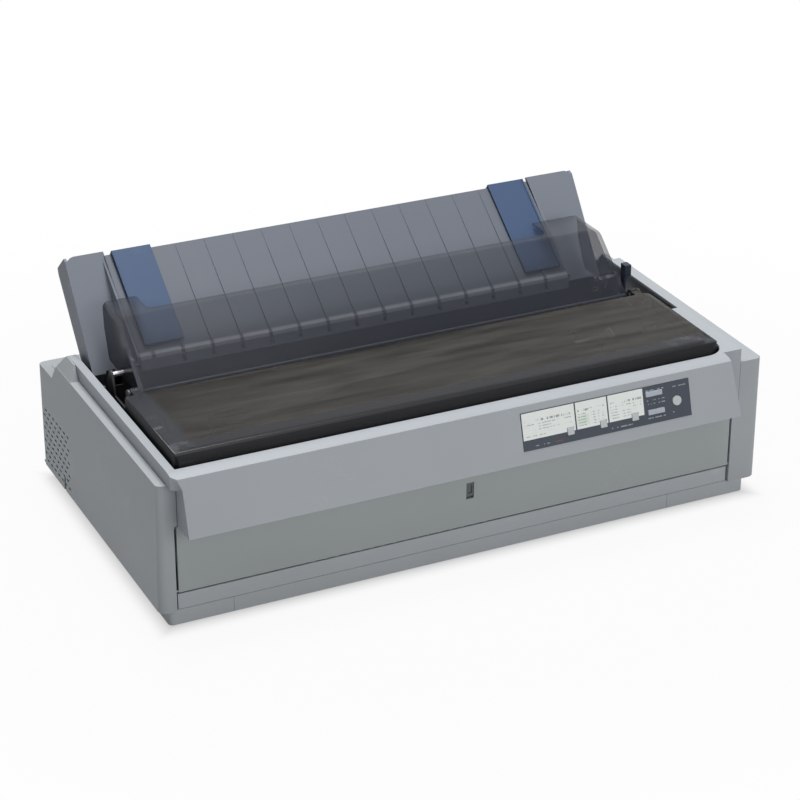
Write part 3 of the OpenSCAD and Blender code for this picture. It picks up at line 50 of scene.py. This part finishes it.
class Value:
    """One socket's value, with Python's operators adding Math nodes."""

    def __init__(self, wiring, socket):
        self.wiring, self.socket = wiring, socket

    def calc(self, operation, *values):
        """A Math node on these values."""
        return self.wiring.node("Math", {"operation": operation}, *values)["Value"]

    def __add__(self, other): return self.calc("ADD", self, other)
    def __radd__(self, other): return self.calc("ADD", other, self)
    def __sub__(self, other): return self.calc("SUBTRACT", self, other)
    def __rsub__(self, other): return self.calc("SUBTRACT", other, self)
    def __mul__(self, other): return self.calc("MULTIPLY", self, other)
    def __rmul__(self, other): return self.calc("MULTIPLY", other, self)
    def __truediv__(self, other): return self.calc("DIVIDE", self, other)
    def __abs__(self): return self.calc("ABSOLUTE", self)
    def part(self): return self.calc("FRACT", self)
    def high(self, other): return self.calc("MAXIMUM", self, other)

    def step(self, edge, soft):
        """0 below the edge and 1 above it, rising over twice the soft width."""
        return self.wiring.node("MapRange", {"interpolation_type": "SMOOTHSTEP"},
                                self, edge - soft, edge + soft)["Result"]

    def within(self, low, high, soft):
        """1 between the two edges and 0 outside them."""
        return self.step(low, soft) * (1 - self.step(high, soft))


class Wiring:
    """A tree of shader nodes under construction."""

    def __init__(self, tree):
        self.nodes, self.links = tree.nodes, tree.links

    def feed(self, socket, value):
        """Links a value to the socket, or sets a constant on it."""
        if isinstance(value, Value):
            self.links.new(value.socket, socket)
        else:
            socket.default_value = value

    def node(self, kind, settings=None, *in_order, **by_name):
        """Adds a node, sets it up, feeds its sockets in order or by name, and returns its outputs by name."""
        n = self.nodes.new("ShaderNode" + kind)
        for key, value in (settings or {}).items():
            setattr(n, key, value)
        for socket, value in zip(n.inputs, in_order):
            self.feed(socket, value)
        for key, value in by_name.items():
            self.feed(n.inputs[key.replace("_", " ")], value)
        return {o.name: Value(self, o) for o in n.outputs}

    def either(self, amount, first, second):
        """One shader or the other, by an amount."""
        return self.node("MixShader", {}, amount, first, second)["Shader"]

    def rays_to_background(self):
        """1 for rays from the camera, off a shine or through glass, and 0 for rays that gather light."""
        rays = self.node("LightPath")
        return rays["Is Camera Ray"].high(rays["Is Glossy Ray"]).high(rays["Is Transmission Ray"])


class Finish(Wiring):
    """A material under construction on object coordinates."""

    def __init__(self, name, colour, rough, **shader):
        self.material = bpy.data.materials.new(name)
        self.material.use_nodes = True
        super().__init__(self.material.node_tree)
        self.skin = self.nodes["Principled BSDF"]
        self.put("Base Color", (*colour, 1))
        self.put("Roughness", rough)
        for key, value in shader.items():
            self.put(key.replace("_", " "), value)
        coordinates = self.node("TexCoord")
        self.place, self.facing = coordinates["Object"], coordinates["Normal"]
        self.x, self.y, self.z = (self.node("SeparateXYZ", {}, Vector=self.place)[k] for k in "XYZ")

    def put(self, key, value):
        """Feeds a socket of the material's own shader."""
        self.feed(self.skin.inputs[key], value)

    def colour_so_far(self):
        """What is linked to the shader's colour at this point."""
        return Value(self, self.skin.inputs["Base Color"].links[0].from_socket)

    def upward(self, edge, soft):
        """1 where the surface faces up, with its normal's Z past the edge."""
        return self.node("SeparateXYZ", {}, Vector=self.facing)["Z"].step(edge, soft)

    def noise(self, scale, detail=2.0, rough=0.5, stretch=None):
        """Fractal noise about 0.5, stretched along the axes if asked."""
        at = self.place
        if stretch:
            at = self.node("VectorMath", {"operation": "MULTIPLY"}, at, stretch)["Vector"]
        return self.node("TexNoise", {}, Vector=at, Scale=scale, Detail=detail, Roughness=rough)["Fac"]

    def blend(self, amount, first, second, mode="MIX"):
        """Mixes two colours by an amount. The Mix node's sockets share their names among its data types, so
        those for colours go by number."""
        share, colour_a, colour_b, colour_out = 0, 6, 7, 2
        mixer = self.node("Mix", {"data_type": "RGBA", "blend_type": mode})["Result"].socket.node
        for key, value in ((share, amount), (colour_a, first), (colour_b, second)):
            if isinstance(value, tuple) and len(value) == 3:
                value = (*value, 1)
            self.feed(mixer.inputs[key], value)
        return Value(self, mixer.outputs[colour_out])

    def relief(self, height, depth, strength=1.0):
        """Bumps the surface by a height of this many metres."""
        self.put("Normal", self.node("Bump", {}, Height=height, Distance=depth, Strength=strength)["Normal"])


def studio(name, build):
    """Adds one object made of a block of Blender data and links it."""
    thing = bpy.data.objects.new(name, build)
    bpy.context.collection.objects.link(thing)
    return thing


def plain_mesh(name, points, faces):
    """A mesh made of these points and faces."""
    mesh = bpy.data.meshes.new(name)
    mesh.from_pydata(np.asarray(points, float).tolist(), [], faces)
    mesh.update()
    return mesh


def soft_lamp(name, place, size, power):
    """An area lamp at a place, turned to face the middle of the printer."""
    glow = bpy.data.lights.new(name, "AREA")
    glow.shape, glow.size, glow.size_y, glow.energy = "RECTANGLE", size[0], size[1], power
    lamp = studio(name, glow)
    lamp.location = place
    lamp.rotation_euler = (Vector((0, 0, 0.1)) - Vector(place)).to_track_quat("-Z", "Y").to_euler()


look_down, look_across = 26.06, 25.49
eye = bpy.data.cameras.new("studio_eye")
eye.lens, eye.sensor_width = 113.0, 36.0
eye.clip_start, eye.clip_end = 0.05, 50
eye_post = studio("studio_eye", eye)
eye_post.location = (-0.9571, -1.9851, 1.1751)
eye_post.rotation_euler = (math.radians(90 - look_down), 0, math.radians(-look_across))
bpy.context.scene.camera = eye_post
bpy.context.scene.view_settings.view_transform = "Standard"

soft_lamp("top_lamp", (0.0, 0.45, 2.6), (0.9, 1.2), 58)
soft_lamp("front_lamp", (0.5, -2.6, 1.0), (1.8, 1.2), 22)
soft_lamp("fill_lamp", (0.25, -0.9, 2.6), (1.2, 1.0), 7)

sky = bpy.data.worlds.new("pale_sky")
bpy.context.scene.world = sky
sky.use_nodes = True
air = Wiring(sky.node_tree)
air.nodes.remove(air.nodes["Background"])
pale = air.node("Background", {}, Color=(0.94, 0.97, 1.0, 1), Strength=0.19)["Background"]
white = air.node("Background", {}, Color=(1, 1, 1, 1), Strength=1.0)["Background"]
air.feed(air.nodes["World Output"].inputs["Surface"], air.either(air.rays_to_background(), pale, white))

# The floor shows its own shaded colour under the printer, and more white the further off.
# It can't be seen from below.
half = 6
floor_corners = [(-half, -half, 0), (half, -half, 0), (half, half, 0), (-half, half, 0)]
floor = studio("floor_sweep", plain_mesh("floor_sweep", floor_corners, [(0, 1, 2, 3)]))
paper = Finish("pale_paper", (0.5, 0.5, 0.5), 0.9)
foot_low, foot_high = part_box("base_tray")
foot_mid, foot_half = (foot_low + foot_high) / 2, (foot_high - foot_low) / 2
beyond = (abs(paper.x - foot_mid.x) - foot_half.x).high(abs(paper.y - foot_mid.y) - foot_half.y)
far = paper.node("VectorMath", {"operation": "LENGTH"}, Vector=paper.place)["Value"].step(0.62, 0.3)
white_under, more_beside, more_afar = 0.25, 0.69, 0.06
whiteness = white_under + more_beside * beyond.step(0.0, 0.02) + more_afar * far
shine = paper.node("Emission", {}, Color=(1, 1, 1, 1), Strength=1.0)["Emission"]
above = paper.either(paper.rays_to_background() * whiteness, Value(paper, paper.skin.outputs[0]), shine)
below = paper.node("BsdfTransparent")["BSDF"]
paper.feed(paper.nodes["Material Output"].inputs["Surface"],
           paper.either(paper.node("NewGeometry")["Backfacing"], above, below))
floor.data.materials.append(paper.material)

# ---- lower case --------------------------------------------------------------
# The grey tub with the two side walls, injection moulded in one shot with a fine
# spark-eroded grain. The rear slopes and the low shelf belong to it.


def shade(colour, times):
    """The colour made lighter or darker."""
    return tuple(min(1.0, c * times) for c in colour)


def moulded(name, colour, rough=0.5, grain=0.00003, cloud=0.04, dust=0.0, gloss=0.25, **shader):
    """Injection-moulded plastic: fine grain, faint clouds in tone, rubbed patches that shine a little,
    thin scratches, and dust on what faces up."""
    f = Finish(name, colour, rough, Specular_IOR_Level=gloss, **shader)
    fine = f.noise(2600, 3, 0.6)
    drift = f.noise(7, 3)
    rub = f.noise(38, 4, 0.65).step(0.62, 0.08)
    scratch = (1 - abs(f.noise(26, 2, 0.5, (1, 5, 2)) - 0.5).step(0.004, 0.003)) * f.noise(9).step(0.6, 0.05)
    tone = f.blend(drift, shade(colour, 1 - cloud), shade(colour, 1 + cloud))
    if dust:
        tone = f.blend(f.upward(0.7, 0.25) * f.noise(60, 5, 0.7) * dust, tone, (0.6, 0.59, 0.56))
    f.put("Base Color", f.blend(scratch * 0.12, tone, shade(colour, 1.5)))
    f.put("Roughness", rough + fine * 0.14 - 0.07 - rub * 0.05 - scratch * 0.08)
    f.relief(fine - scratch * 0.4, grain)
    return f


def eased(node, width, reach, bends=2, thin=0.0):
    """The node's own form with its corners rounded: loose triangles are merged, flat neighbours joined,
    and each edge longer than the reach that turns by more than a bend gets a round of the width.
    Faces narrower than thin between two sharp edges, the cut edges of a sheet, get the second material."""
    weld, flat, bend, crisp, square = 2e-6, *(math.radians(a) for a in (1, 32, 40, 55))
    form = bmesh.new()
    form.from_mesh(nodes[node].data)
    bmesh.ops.remove_doubles(form, verts=form.verts, dist=weld)
    bmesh.ops.dissolve_limit(form, angle_limit=flat, verts=form.verts, edges=form.edges)
    for face in form.faces:
        face.material_index = 0
        if thin and 2 * face.calc_area() / face.calc_perimeter() < thin:
            long_edges = sorted(face.edges, key=lambda e: e.calc_length())[-2:]
            if all(e.calc_face_angle(0) > square for e in long_edges):
                face.material_index = 1
    turns = [e for e in form.edges if len(e.link_faces) == 2 and e.calc_length() > reach
             and e.calc_face_angle(0) > bend]
    bmesh.ops.bevel(form, geom=turns, offset=width, segments=bends, profile=0.5, affect="EDGES",
                    clamp_overlap=True)
    for face in form.faces:
        face.smooth = True
    for e in form.edges:
        if len(e.link_faces) == 2:
            e.smooth = e.calc_face_angle(0) < crisp
    mesh = bpy.data.meshes.new(node + "_eased")
    form.to_mesh(mesh)
    form.free()
    piece = studio(node + "_eased", mesh)
    even = piece.modifiers.new("even_normals", "WEIGHTED_NORMAL")
    even.keep_sharp = True
    return piece


def dress(piece, *finishes):
    """Gives an object its finishes, the first on all faces that ask for no other."""
    piece.data.materials.clear()
    for finish in finishes:
        piece.data.materials.append(finish.material)


def stand_in(node, body, slot, finish, width, *edge_finish, **how):
    """Puts an eased form in the node's place."""
    piece = eased(node, width, **how)
    dress(piece, finish, *edge_finish)
    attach(piece, body)
    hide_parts(node)


def finish_nodes(finish, *names):
    """Puts the finish in the material slots of these CAD nodes."""
    for name in names:
        for place in nodes[name].material_slots:
            place.material = finish.material


shell = (0.40, 0.425, 0.445)
wall_grey = moulded("wall_grey", shell, 0.5, dust=0.05)
stand_in("lower_case", "case", "shell_lower", wall_grey, 0.0022, reach=0.02, bends=3)

# ---- vent backing, end pads and front curtain --------------------------------
# A grey sheet just inside the left wall, a lighter copy of the shell colour, makes shallow slots
# of its vents: painted light that lifts the shade in them. A black foam pad closes each end of
# the rear paper slot, outside the widest paper. A black curtain hangs under the rim in front of
# the cover, down to the bezel's lower edge.


def flat_sheet(name, corner, across, up, thick, finish):
    """A flat sheet on the case: the point at (u, v) is corner + u across + v up, and Solidify gives it
    its thickness."""
    count = 9
    shares = np.linspace(0, 1, count)
    u, v = (g.ravel()[:, None] for g in np.meshgrid(shares, shares))
    i = (np.arange(count - 1)[:, None] * count + np.arange(count - 1)).ravel()
    faces = np.column_stack([i, i + 1, i + count + 1, i + count]).tolist()
    points = np.array(corner) + u * np.array(across) + v * np.array(up)
    sheet = studio(name, plain_mesh(name, points, faces))
    wall = sheet.modifiers.new("wall", "SOLIDIFY")
    wall.thickness, wall.offset = thick, 0
    dress(sheet, finish)
    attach(sheet, "case")


case_low, case_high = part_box("lower_case")
vents_in, vents_rear, vents_deep = case_low.x + 0.0026, case_high.y - 0.0045, 0.0845
vents_foot, vents_high = 0.0215, 0.0647
# The vent backing is the shell colour made lighter: painted light in the vent slots.
vent_backing_painted_light = moulded("vent_backing_painted_light", shade(shell, 1.1), 0.7, grain=0.0001)
flat_sheet("vent_backing", (vents_in, vents_rear, vents_foot), (0, -vents_deep, 0), (0, 0, vents_high), 0.0004,
           vent_backing_painted_light)
pad_y, pad_foot, pad_wide, pad_high = case_high.y - 0.0056, 0.077, 0.022, 0.023
foam_black = moulded("foam_black", (0.012, 0.012, 0.013), 0.9, grain=0.0003, dust=0.06)
for end, pad_x in (("l", -0.246), ("r", 0.184)):
    flat_sheet("slot_pad_" + end, (pad_x, pad_y, pad_foot), (pad_wide, 0, 0), (0, 0, pad_high), 0.003,
               foam_black)
lid_low, lid_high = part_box("printer_cover")
curtain_foot, curtain_high, curtain_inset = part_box("upper_case")[0].z + 0.0005, 0.0533, 0.004
flat_sheet("front_curtain", (lid_low.x + curtain_inset, lid_low.y - 0.0028, curtain_foot),
           (lid_high.x - lid_low.x - 2 * curtain_inset, 0, 0), (0, 0, curtain_high), 0.001, foam_black)

# ---- base tray, feet and screws ----------------------------------------------
# A shallow pan carries the mechanism. It shows as the inset strip below the walls,
# stands on rubber feet, and six screws hold the lower case to it.
# The tray takes the shell colour made 1.14 times lighter: painted light on the low inset strip.
tray_grey_painted_light = moulded("tray_grey_painted_light", shade(shell, 1.14), 0.55)
stand_in("base_tray", "case", "shell_lower", tray_grey_painted_light, 0.0012, reach=0.02)
foot_rubber = moulded("foot_rubber", (0.02, 0.02, 0.02), 0.8)
finish_nodes(foot_rubber, "rubber_feet")


def plated(name, colour, rough, spangle=0.1, brush=(1, 1, 1)):
    """Bare or zinc-plated metal: brushed streaks along one axis, soft spangle, and dull finger marks."""
    f = Finish(name, colour, rough, Metallic=1.0)
    streak = f.noise(420, 3, 0.6, brush)
    flake = f.node("TexVoronoi", {}, Vector=f.place, Scale=90)["Color"]
    smear = f.noise(22, 3, 0.6).step(0.6, 0.1)
    tone = f.blend(spangle, colour, flake, "OVERLAY")
    f.put("Base Color", f.blend(streak * 0.25, tone, shade(colour, 0.7)))
    f.put("Roughness", rough + streak * 0.16 - 0.08 + smear * 0.12)
    f.relief(streak, 0.00001)
    return f


screw_steel = plated("screw_steel", (0.55, 0.55, 0.54), 0.32)
finish_nodes(screw_steel, "case_screws")

# ---- upper case --------------------------------------------------------------
# The rim round the opening and the leaning front bezel are one moulding of the same
# grey as the tub that it sits in, a little smoother.
rim_grey = moulded("rim_grey", (0.405, 0.43, 0.46), 0.43, grain=0.00002, dust=0.04)
stand_in("upper_case", "case", "shell_upper", rim_grey, 0.003, reach=0.007, bends=3)

# ---- front cover, latch and skirt --------------------------------------------
# A flat drop-down door between the side panels, with a finger slider near its
# middle, above a fixed skirt.
door_grey = moulded("door_grey", (0.385, 0.415, 0.42), 0.48, dust=0.02)
stand_in("front_cover", "front_cover", "shell_front", door_grey, 0.0008, reach=0.01)
# The skirt takes the shell colour made 1.14 times lighter: painted light that makes up for the shade under
# the door.
skirt_grey_painted_light = moulded("skirt_grey_painted_light", shade(shell, 1.14), 0.48)
stand_in("front_skirt", "case", "shell_front", skirt_grey_painted_light, 0.0008, reach=0.008)
slider_grey = moulded("slider_grey", (0.13, 0.14, 0.145), 0.45)
finish_nodes(slider_grey, "cover_latch")

# ---- control panel -----------------------------------------------------------
# A dark film-faced plate let into the bezel. Three white label cards lie on it with
# rows of short grey marks, and pale keys come out through it.


def on_plate(finish):
    """How far right of the plate's upper left corner a point lies, and how far below it, in millimetres."""
    plate_low, plate_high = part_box("control_plate")
    return (finish.x - plate_low.x) * 1000, (plate_high.z - finish.z) * 1000


def mark(place, left, right, top, bottom, soft=(0.3, 0.2)):
    """1 on one rectangle of the plate and 0 around it, with edges this soft across and down."""
    across, down = place
    return across.within(left, right, soft[0]) * down.within(top, bottom, soft[1])


film_blue = (0.045, 0.058, 0.08)
plate_film = moulded("plate_film", film_blue, 0.32, Coat_Weight=0.3)
place = on_plate(plate_film)
captions = mark(place, 131.5, 153, 3.5, 4.5)
for row in ((131.5, 156, 12.8, 13.6), (134, 154, 16, 17), (133, 152, 29, 30), (160, 176, 4.5, 5.3),
            (160, 171, 27.8, 28.8), (10, 30, 31, 31.8), (93, 116, 30.6, 31.6)):
    captions = captions.high(mark(place, *row))
dash = plate_film.noise(420, 1, 0.5, (1, 0.1, 0.1)).step(0.52, 0.03)
film = plate_film.blend(captions * dash * 0.8, film_blue, (0.42, 0.46, 0.5))
plate_film.put("Base Color", plate_film.blend(mark(place, 34, 41, 31, 32) * 0.7, film, (0.3, 0.05, 0.05)))
finish_nodes(plate_film, "control_plate")

card_pale = (0.88, 0.91, 0.88)
card_white = moulded("card_white", card_pale, 0.45)
place = on_plate(card_white)
across, down = place
line_pitch = 2.6
line = (down / line_pitch).part().within(0.3, 0.62, 0.08) * down.within(10.5, 22.5, 0.4)
word = card_white.noise(520, 2, 0.6, (1, 0.05, 0.05)).step(0.5, 0.04)
heading = down.within(7.4, 9.4, 0.3) * card_white.noise(700, 1, 0.5, (1, 0.02, 0.02)).step(0.49, 0.03)
ragged = card_white.noise(35, 1, 0.5, (1, 1, 6)).step(0.46, 0.04)
inside = across.within(3, 52, 0.5).high(across.within(59, 87, 0.5)).high(across.within(93.5, 127, 0.5))
ink = (line * word * 0.6).high(heading * 0.75) * ragged * inside
card = card_white.blend(mark(place, 58, 70.5, 12.5, 21.5, (0.4, 0.4)) * 0.5, card_pale, (0.62, 0.76, 0.63))
card_white.put("Base Color", card_white.blend(ink, card, (0.16, 0.17, 0.18)))
finish_nodes(card_white, "label_cards")

key_pale = moulded("key_pale", (0.56, 0.6, 0.61), 0.38)
key_grey = moulded("key_grey", (0.44, 0.49, 0.56), 0.38)
for key, cap in (("key_small_1", key_pale), ("key_small_2", key_pale), ("key_small_3", key_pale),
                 ("key_wide_upper", key_grey), ("key_wide_lower", key_grey), ("key_round", key_pale)):
    stand_in(key, key, "key_grey", cap, 0.0005, reach=0.001)

# ---- smoked printer cover ----------------------------------------------------
# One deep pan of smoked clear plastic. Its top gets brown streaks in its colour, a painted reflection of the
# light and of the mechanism seen through it, and its thick front and side walls, told from the top by the way
# they face, are painted nearly black: painted shade.


def smoked(name, colour, alpha, rough):
    """Clear plastic with smoke in it: faint flow lines, fine wipe marks and a polished surface."""
    f = Finish(name, colour, rough, Alpha=alpha, Specular_IOR_Level=0.2)
    wipe = f.noise(240, 3, 0.6, (0.2, 1, 1))
    f.put("Roughness", rough + f.noise(30, 4, 0.6).step(0.58, 0.12) * 0.08 + wipe * 0.05)
    f.relief(f.noise(14, 2), 0.0004, 0.25)
    return f


smoke_lid = smoked("smoke_lid", (0.05, 0.05, 0.048), 0.6, 0.24)
left_band = 1 - smoke_lid.x.step(lid_low.x + 0.022, 0.003)
right_end = smoke_lid.x.step(lid_high.x - 0.05, 0.01)
front_band = 1 - smoke_lid.y.step(lid_low.y + 0.024, 0.0015)
# Lighter bluish noisy patches in the front band at the lid's left and right ends.
front_end_patches = front_band * left_band.high(right_end) * smoke_lid.noise(60, 3).step(0.5, 0.1)
# Faces that point up get the brown streaked tone, a painted reflection; the walls get near black, a painted
# shade, and are made more opaque and rougher.
top = smoke_lid.upward(0.9, 0.05)
streak = smoke_lid.noise(70, 4, 0.6, (0.12, 1, 1)).step(0.5, 0.22)
tone = smoke_lid.blend(streak, (0.012, 0.0115, 0.0105), (0.075, 0.07, 0.06))
tone = smoke_lid.blend(left_band, tone, (0.05, 0.054, 0.065))
tone = smoke_lid.blend(front_band, tone, (0.012, 0.013, 0.017))
tone = smoke_lid.blend(front_end_patches * 0.8, tone, (0.07, 0.075, 0.09))
smoke_lid.put("Base Color", smoke_lid.blend(top, (0.006, 0.0065, 0.008), tone))
smoke_lid.put("Alpha", 0.62 + front_band * 0.3 + (1 - top) * 0.3 * (1 - front_band))
smoke_lid.put("Roughness", 0.26 + (1 - top) * 0.3)
smoke_edge = smoked("smoke_edge", (0.007, 0.008, 0.011), 0.93, 0.2)
stand_in("printer_cover", "printer_cover", "smoke", smoke_lid, 0.0008, smoke_edge, reach=0.01, thin=0.0032)

# ---- smoked paper flap -------------------------------------------------------
# A lighter smoked moulding with a cheek at each end and a lip along its top, closed
# below by a half-round bead whose paler colour is a painted highlight. Its cut edges look black.
flap_low, flap_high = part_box("paper_flap")
smoke_flap = smoked("smoke_flap", (0.05, 0.055, 0.07), 0.36, 0.16)
cheek_wide = 0.0048
left_cheek = 1 - smoke_flap.x.step(flap_low.x + cheek_wide, 0.0008)
right_cheek = smoke_flap.x.step(flap_high.x - cheek_wide, 0.0008)
smoke_flap.put("Alpha", 0.36 + left_cheek * 0.38 + right_cheek * 0.07)
smoke_flap.put("Base Color", smoke_flap.blend(smoke_flap.noise(40, 4, 0.6, (0.3, 1, 1)),
                                             (0.032, 0.036, 0.048), (0.056, 0.062, 0.08)))
stand_in("paper_flap", "paper_flap", "smoke", smoke_flap, 0.0008, smoke_edge, reach=0.01, thin=0.0032)


def carried(name, profile, path):
    """A closed profile carried along a straight path of X values: the point at angle u and place v is the
    profile's (y, z) at u and the path's x at v. Both ends are closed by a flat face."""
    around, along = len(profile), len(path)
    points = np.column_stack([np.repeat(path, around), np.tile(profile, (along, 1))])
    i = np.arange(around)
    j = np.arange(along - 1)[:, None] * around
    ahead = (i + 1) % around
    ring = np.stack([j + i, j + ahead, j + around + ahead, j + around + i], axis=-1).reshape(-1, 4)
    mesh = plain_mesh(name, points, ring.tolist() + [i[::-1].tolist(), (i + (along - 1) * around).tolist()])
    form = bmesh.new()
    form.from_mesh(mesh)
    bmesh.ops.recalc_face_normals(form, faces=form.faces)
    form.to_mesh(mesh)
    form.free()
    for face in mesh.polygons:
        face.use_smooth = len(face.vertices) == 4
    return studio(name, mesh)


bead_r, bead_inset = 0.0016, 0.001
turn = np.linspace(0, 2 * np.pi, 24, endpoint=False)
bead_profile = np.column_stack([flap_low.y + 0.0032 + bead_r * np.cos(turn),
                                flap_low.z + 0.0034 + bead_r * np.sin(turn)])
bead = carried("flap_bead", bead_profile, np.linspace(flap_low.x + bead_inset, flap_high.x - bead_inset, 24))
# The bead's smoke is paler than the flap's: a painted highlight along the flap's bottom edge.
dress(bead, smoked("bead_painted_highlight", (0.1, 0.105, 0.125), 0.75, 0.2))
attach(bead, "paper_flap")

# ---- steel pins and shafts ---------------------------------------------------
# Ground steel rods that covers, rollers and tractors turn on, held in the side frames.
# The motors' pinion and belt pulley are turned from the same steel.
pin_steel = plated("pin_steel", (0.5, 0.5, 0.5), 0.25, 0.04, (0.2, 1, 1))
finish_nodes(pin_steel, "hinge_pins", "platen_shaft", "carriage_rod", "tractor_rod", "tractor_shaft",
             "feed_pinion", "drive_pulley")

# ---- paper guide -------------------------------------------------------------
# A blue-grey frame of two winged uprights holds the ribbed sheet on which two blue
# edge guides slide. The sheet's crease gets a pale painted highlight, broken at the slots.
guide_grey = moulded("guide_grey", (0.2, 0.22, 0.26), 0.55, dust=0.03)
sheet_grey = moulded("sheet_grey", (0.135, 0.15, 0.18), 0.52)
sheet_low, sheet_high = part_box("guide_panel")
# A pale band along the crease is a painted highlight; it is left out over the slots and varies a little along
# its length.
crease_z, crease_y, crease_wide = sheet_low.z + 0.013, sheet_low.y + 0.004, 0.003
from_crease = abs(sheet_grey.z - crease_z).high(abs(sheet_grey.y - crease_y))
rib_pitch, slot_w, rib_mid = 0.03, 0.0036, (sheet_low.x + sheet_high.x) / 2 + 0.009
from_rib = abs(((sheet_grey.x - rib_mid) / rib_pitch + 20.5).part() - 0.5)
in_slot = from_rib.step(0.5 - slot_w / rib_pitch / 2, 0.015)
uneven = 0.7 + 0.3 * sheet_grey.noise(30, 2)
crease_highlight = (1 - from_crease.step(crease_wide, 0.0014)) * (1 - in_slot * 0.85) * uneven
sheet_grey.put("Base Color", sheet_grey.blend(crease_highlight, sheet_grey.colour_so_far(), (0.5, 0.52, 0.57)))
stand_in("guide_frame", "paper_guide", "guide_grey", guide_grey, 0.0014, reach=0.01, bends=3)
stand_in("guide_panel", "paper_guide", "guide_grey", sheet_grey, 0.0005, reach=0.02)
guide_blue = moulded("guide_blue", (0.05, 0.085, 0.165), 0.5)
for side in ("left", "right"):
    stand_in("edge_guide_" + side, "edge_guide_" + side, "guide_blue", guide_blue, 0.0005, reach=0.003)

# ---- mechanism ---------------------------------------------------------------
# Zinc-plated sheet steel carries platen, carriage and tractors. The upper ends of the
# frames and of the paper chute are coloured near black and not metallic.
frame_steel = plated("frame_steel", (0.36, 0.365, 0.37), 0.42, 0.12, (1, 1, 0.25))
# Above this height the steel is coloured near black and not metallic.
dark_from_height = 0.104
upper_dark = frame_steel.z.step(dark_from_height, 0.0015)
frame_steel.put("Base Color", frame_steel.blend(upper_dark, frame_steel.colour_so_far(), (0.016, 0.017, 0.019)))
frame_steel.put("Metallic", 1 - upper_dark)
finish_nodes(frame_steel, "side_frame_left", "side_frame_right", "cross_beams", "carriage_rail")


def ground_rubber(name, colour):
    """Rubber ground round: fine rings along X, and pale dust in the grain."""
    f = Finish(name, colour, 0.72)
    ring = f.noise(900, 2, 0.5, (1, 0.02, 0.02))
    bloom = f.noise(45, 4, 0.65)
    f.put("Base Color", f.blend(bloom * 0.35, colour, shade(colour, 2.6)))
    f.put("Roughness", 0.62 + bloom * 0.2)
    f.relief(ring, 0.00004)
    return f


black_rubber = ground_rubber("black_rubber", (0.02, 0.02, 0.022))
finish_nodes(black_rubber, "platen_roller", "timing_belt", "pressure_rollers")
nylon = moulded("nylon", (0.62, 0.6, 0.54), 0.42, cloud=0.08)
finish_nodes(nylon, "platen_bushes", "platen_gear", "feed_idler_gear", "tractor_idler_gear", "tractor_gear",
             "idler_pulley")
dark_mould = moulded("dark_mould", (0.016, 0.018, 0.021), 0.45, dust=0.08)
finish_nodes(dark_mould, "platen_knob", "tractor_left", "tractor_right", "tractor_cover_left",
             "tractor_cover_right", "carriage", "ribbon_cartridge")
motor_black = moulded("motor_black", (0.03, 0.032, 0.035), 0.4)
finish_nodes(motor_black, "feed_motor", "carriage_motor", "print_head")
lever_blue = moulded("lever_blue", (0.022, 0.03, 0.052), 0.42)
finish_nodes(lever_blue, "release_lever", "thickness_lever", "ribbon_knob")

# ---- boards and sockets ------------------------------------------------------
# A green main board with tracks and solder, a supply board with its tall parts, and
# black sockets in the rear wall.
board_green = moulded("board_green", (0.02, 0.13, 0.05), 0.35)
track = 1 - abs(board_green.noise(130, 1, 0.4, (1, 0.35, 1)) - 0.5).step(0.012, 0.006)
spots = board_green.node("TexVoronoi", {}, Vector=board_green.place, Scale=260)["Distance"]
tracked = board_green.blend(track, (0.018, 0.11, 0.045), (0.04, 0.22, 0.09))
board_green.put("Base Color", board_green.blend(1 - spots.step(0.16, 0.03), tracked, (0.6, 0.6, 0.56)))
finish_nodes(board_green, "main_board")
supply_tan = moulded("supply_tan", (0.16, 0.15, 0.11), 0.5)
tall = supply_tan.node("TexVoronoi", {}, Vector=supply_tan.place, Scale=46)["Color"]
supply_tan.put("Base Color", supply_tan.blend(0.5, (0.13, 0.12, 0.1), tall, "MULTIPLY"))
finish_nodes(supply_tan, "power_supply")
socket_black = moulded("socket_black", (0.015, 0.015, 0.017), 0.5)
finish_nodes(socket_black, "power_inlet", "power_switch", "data_ports")
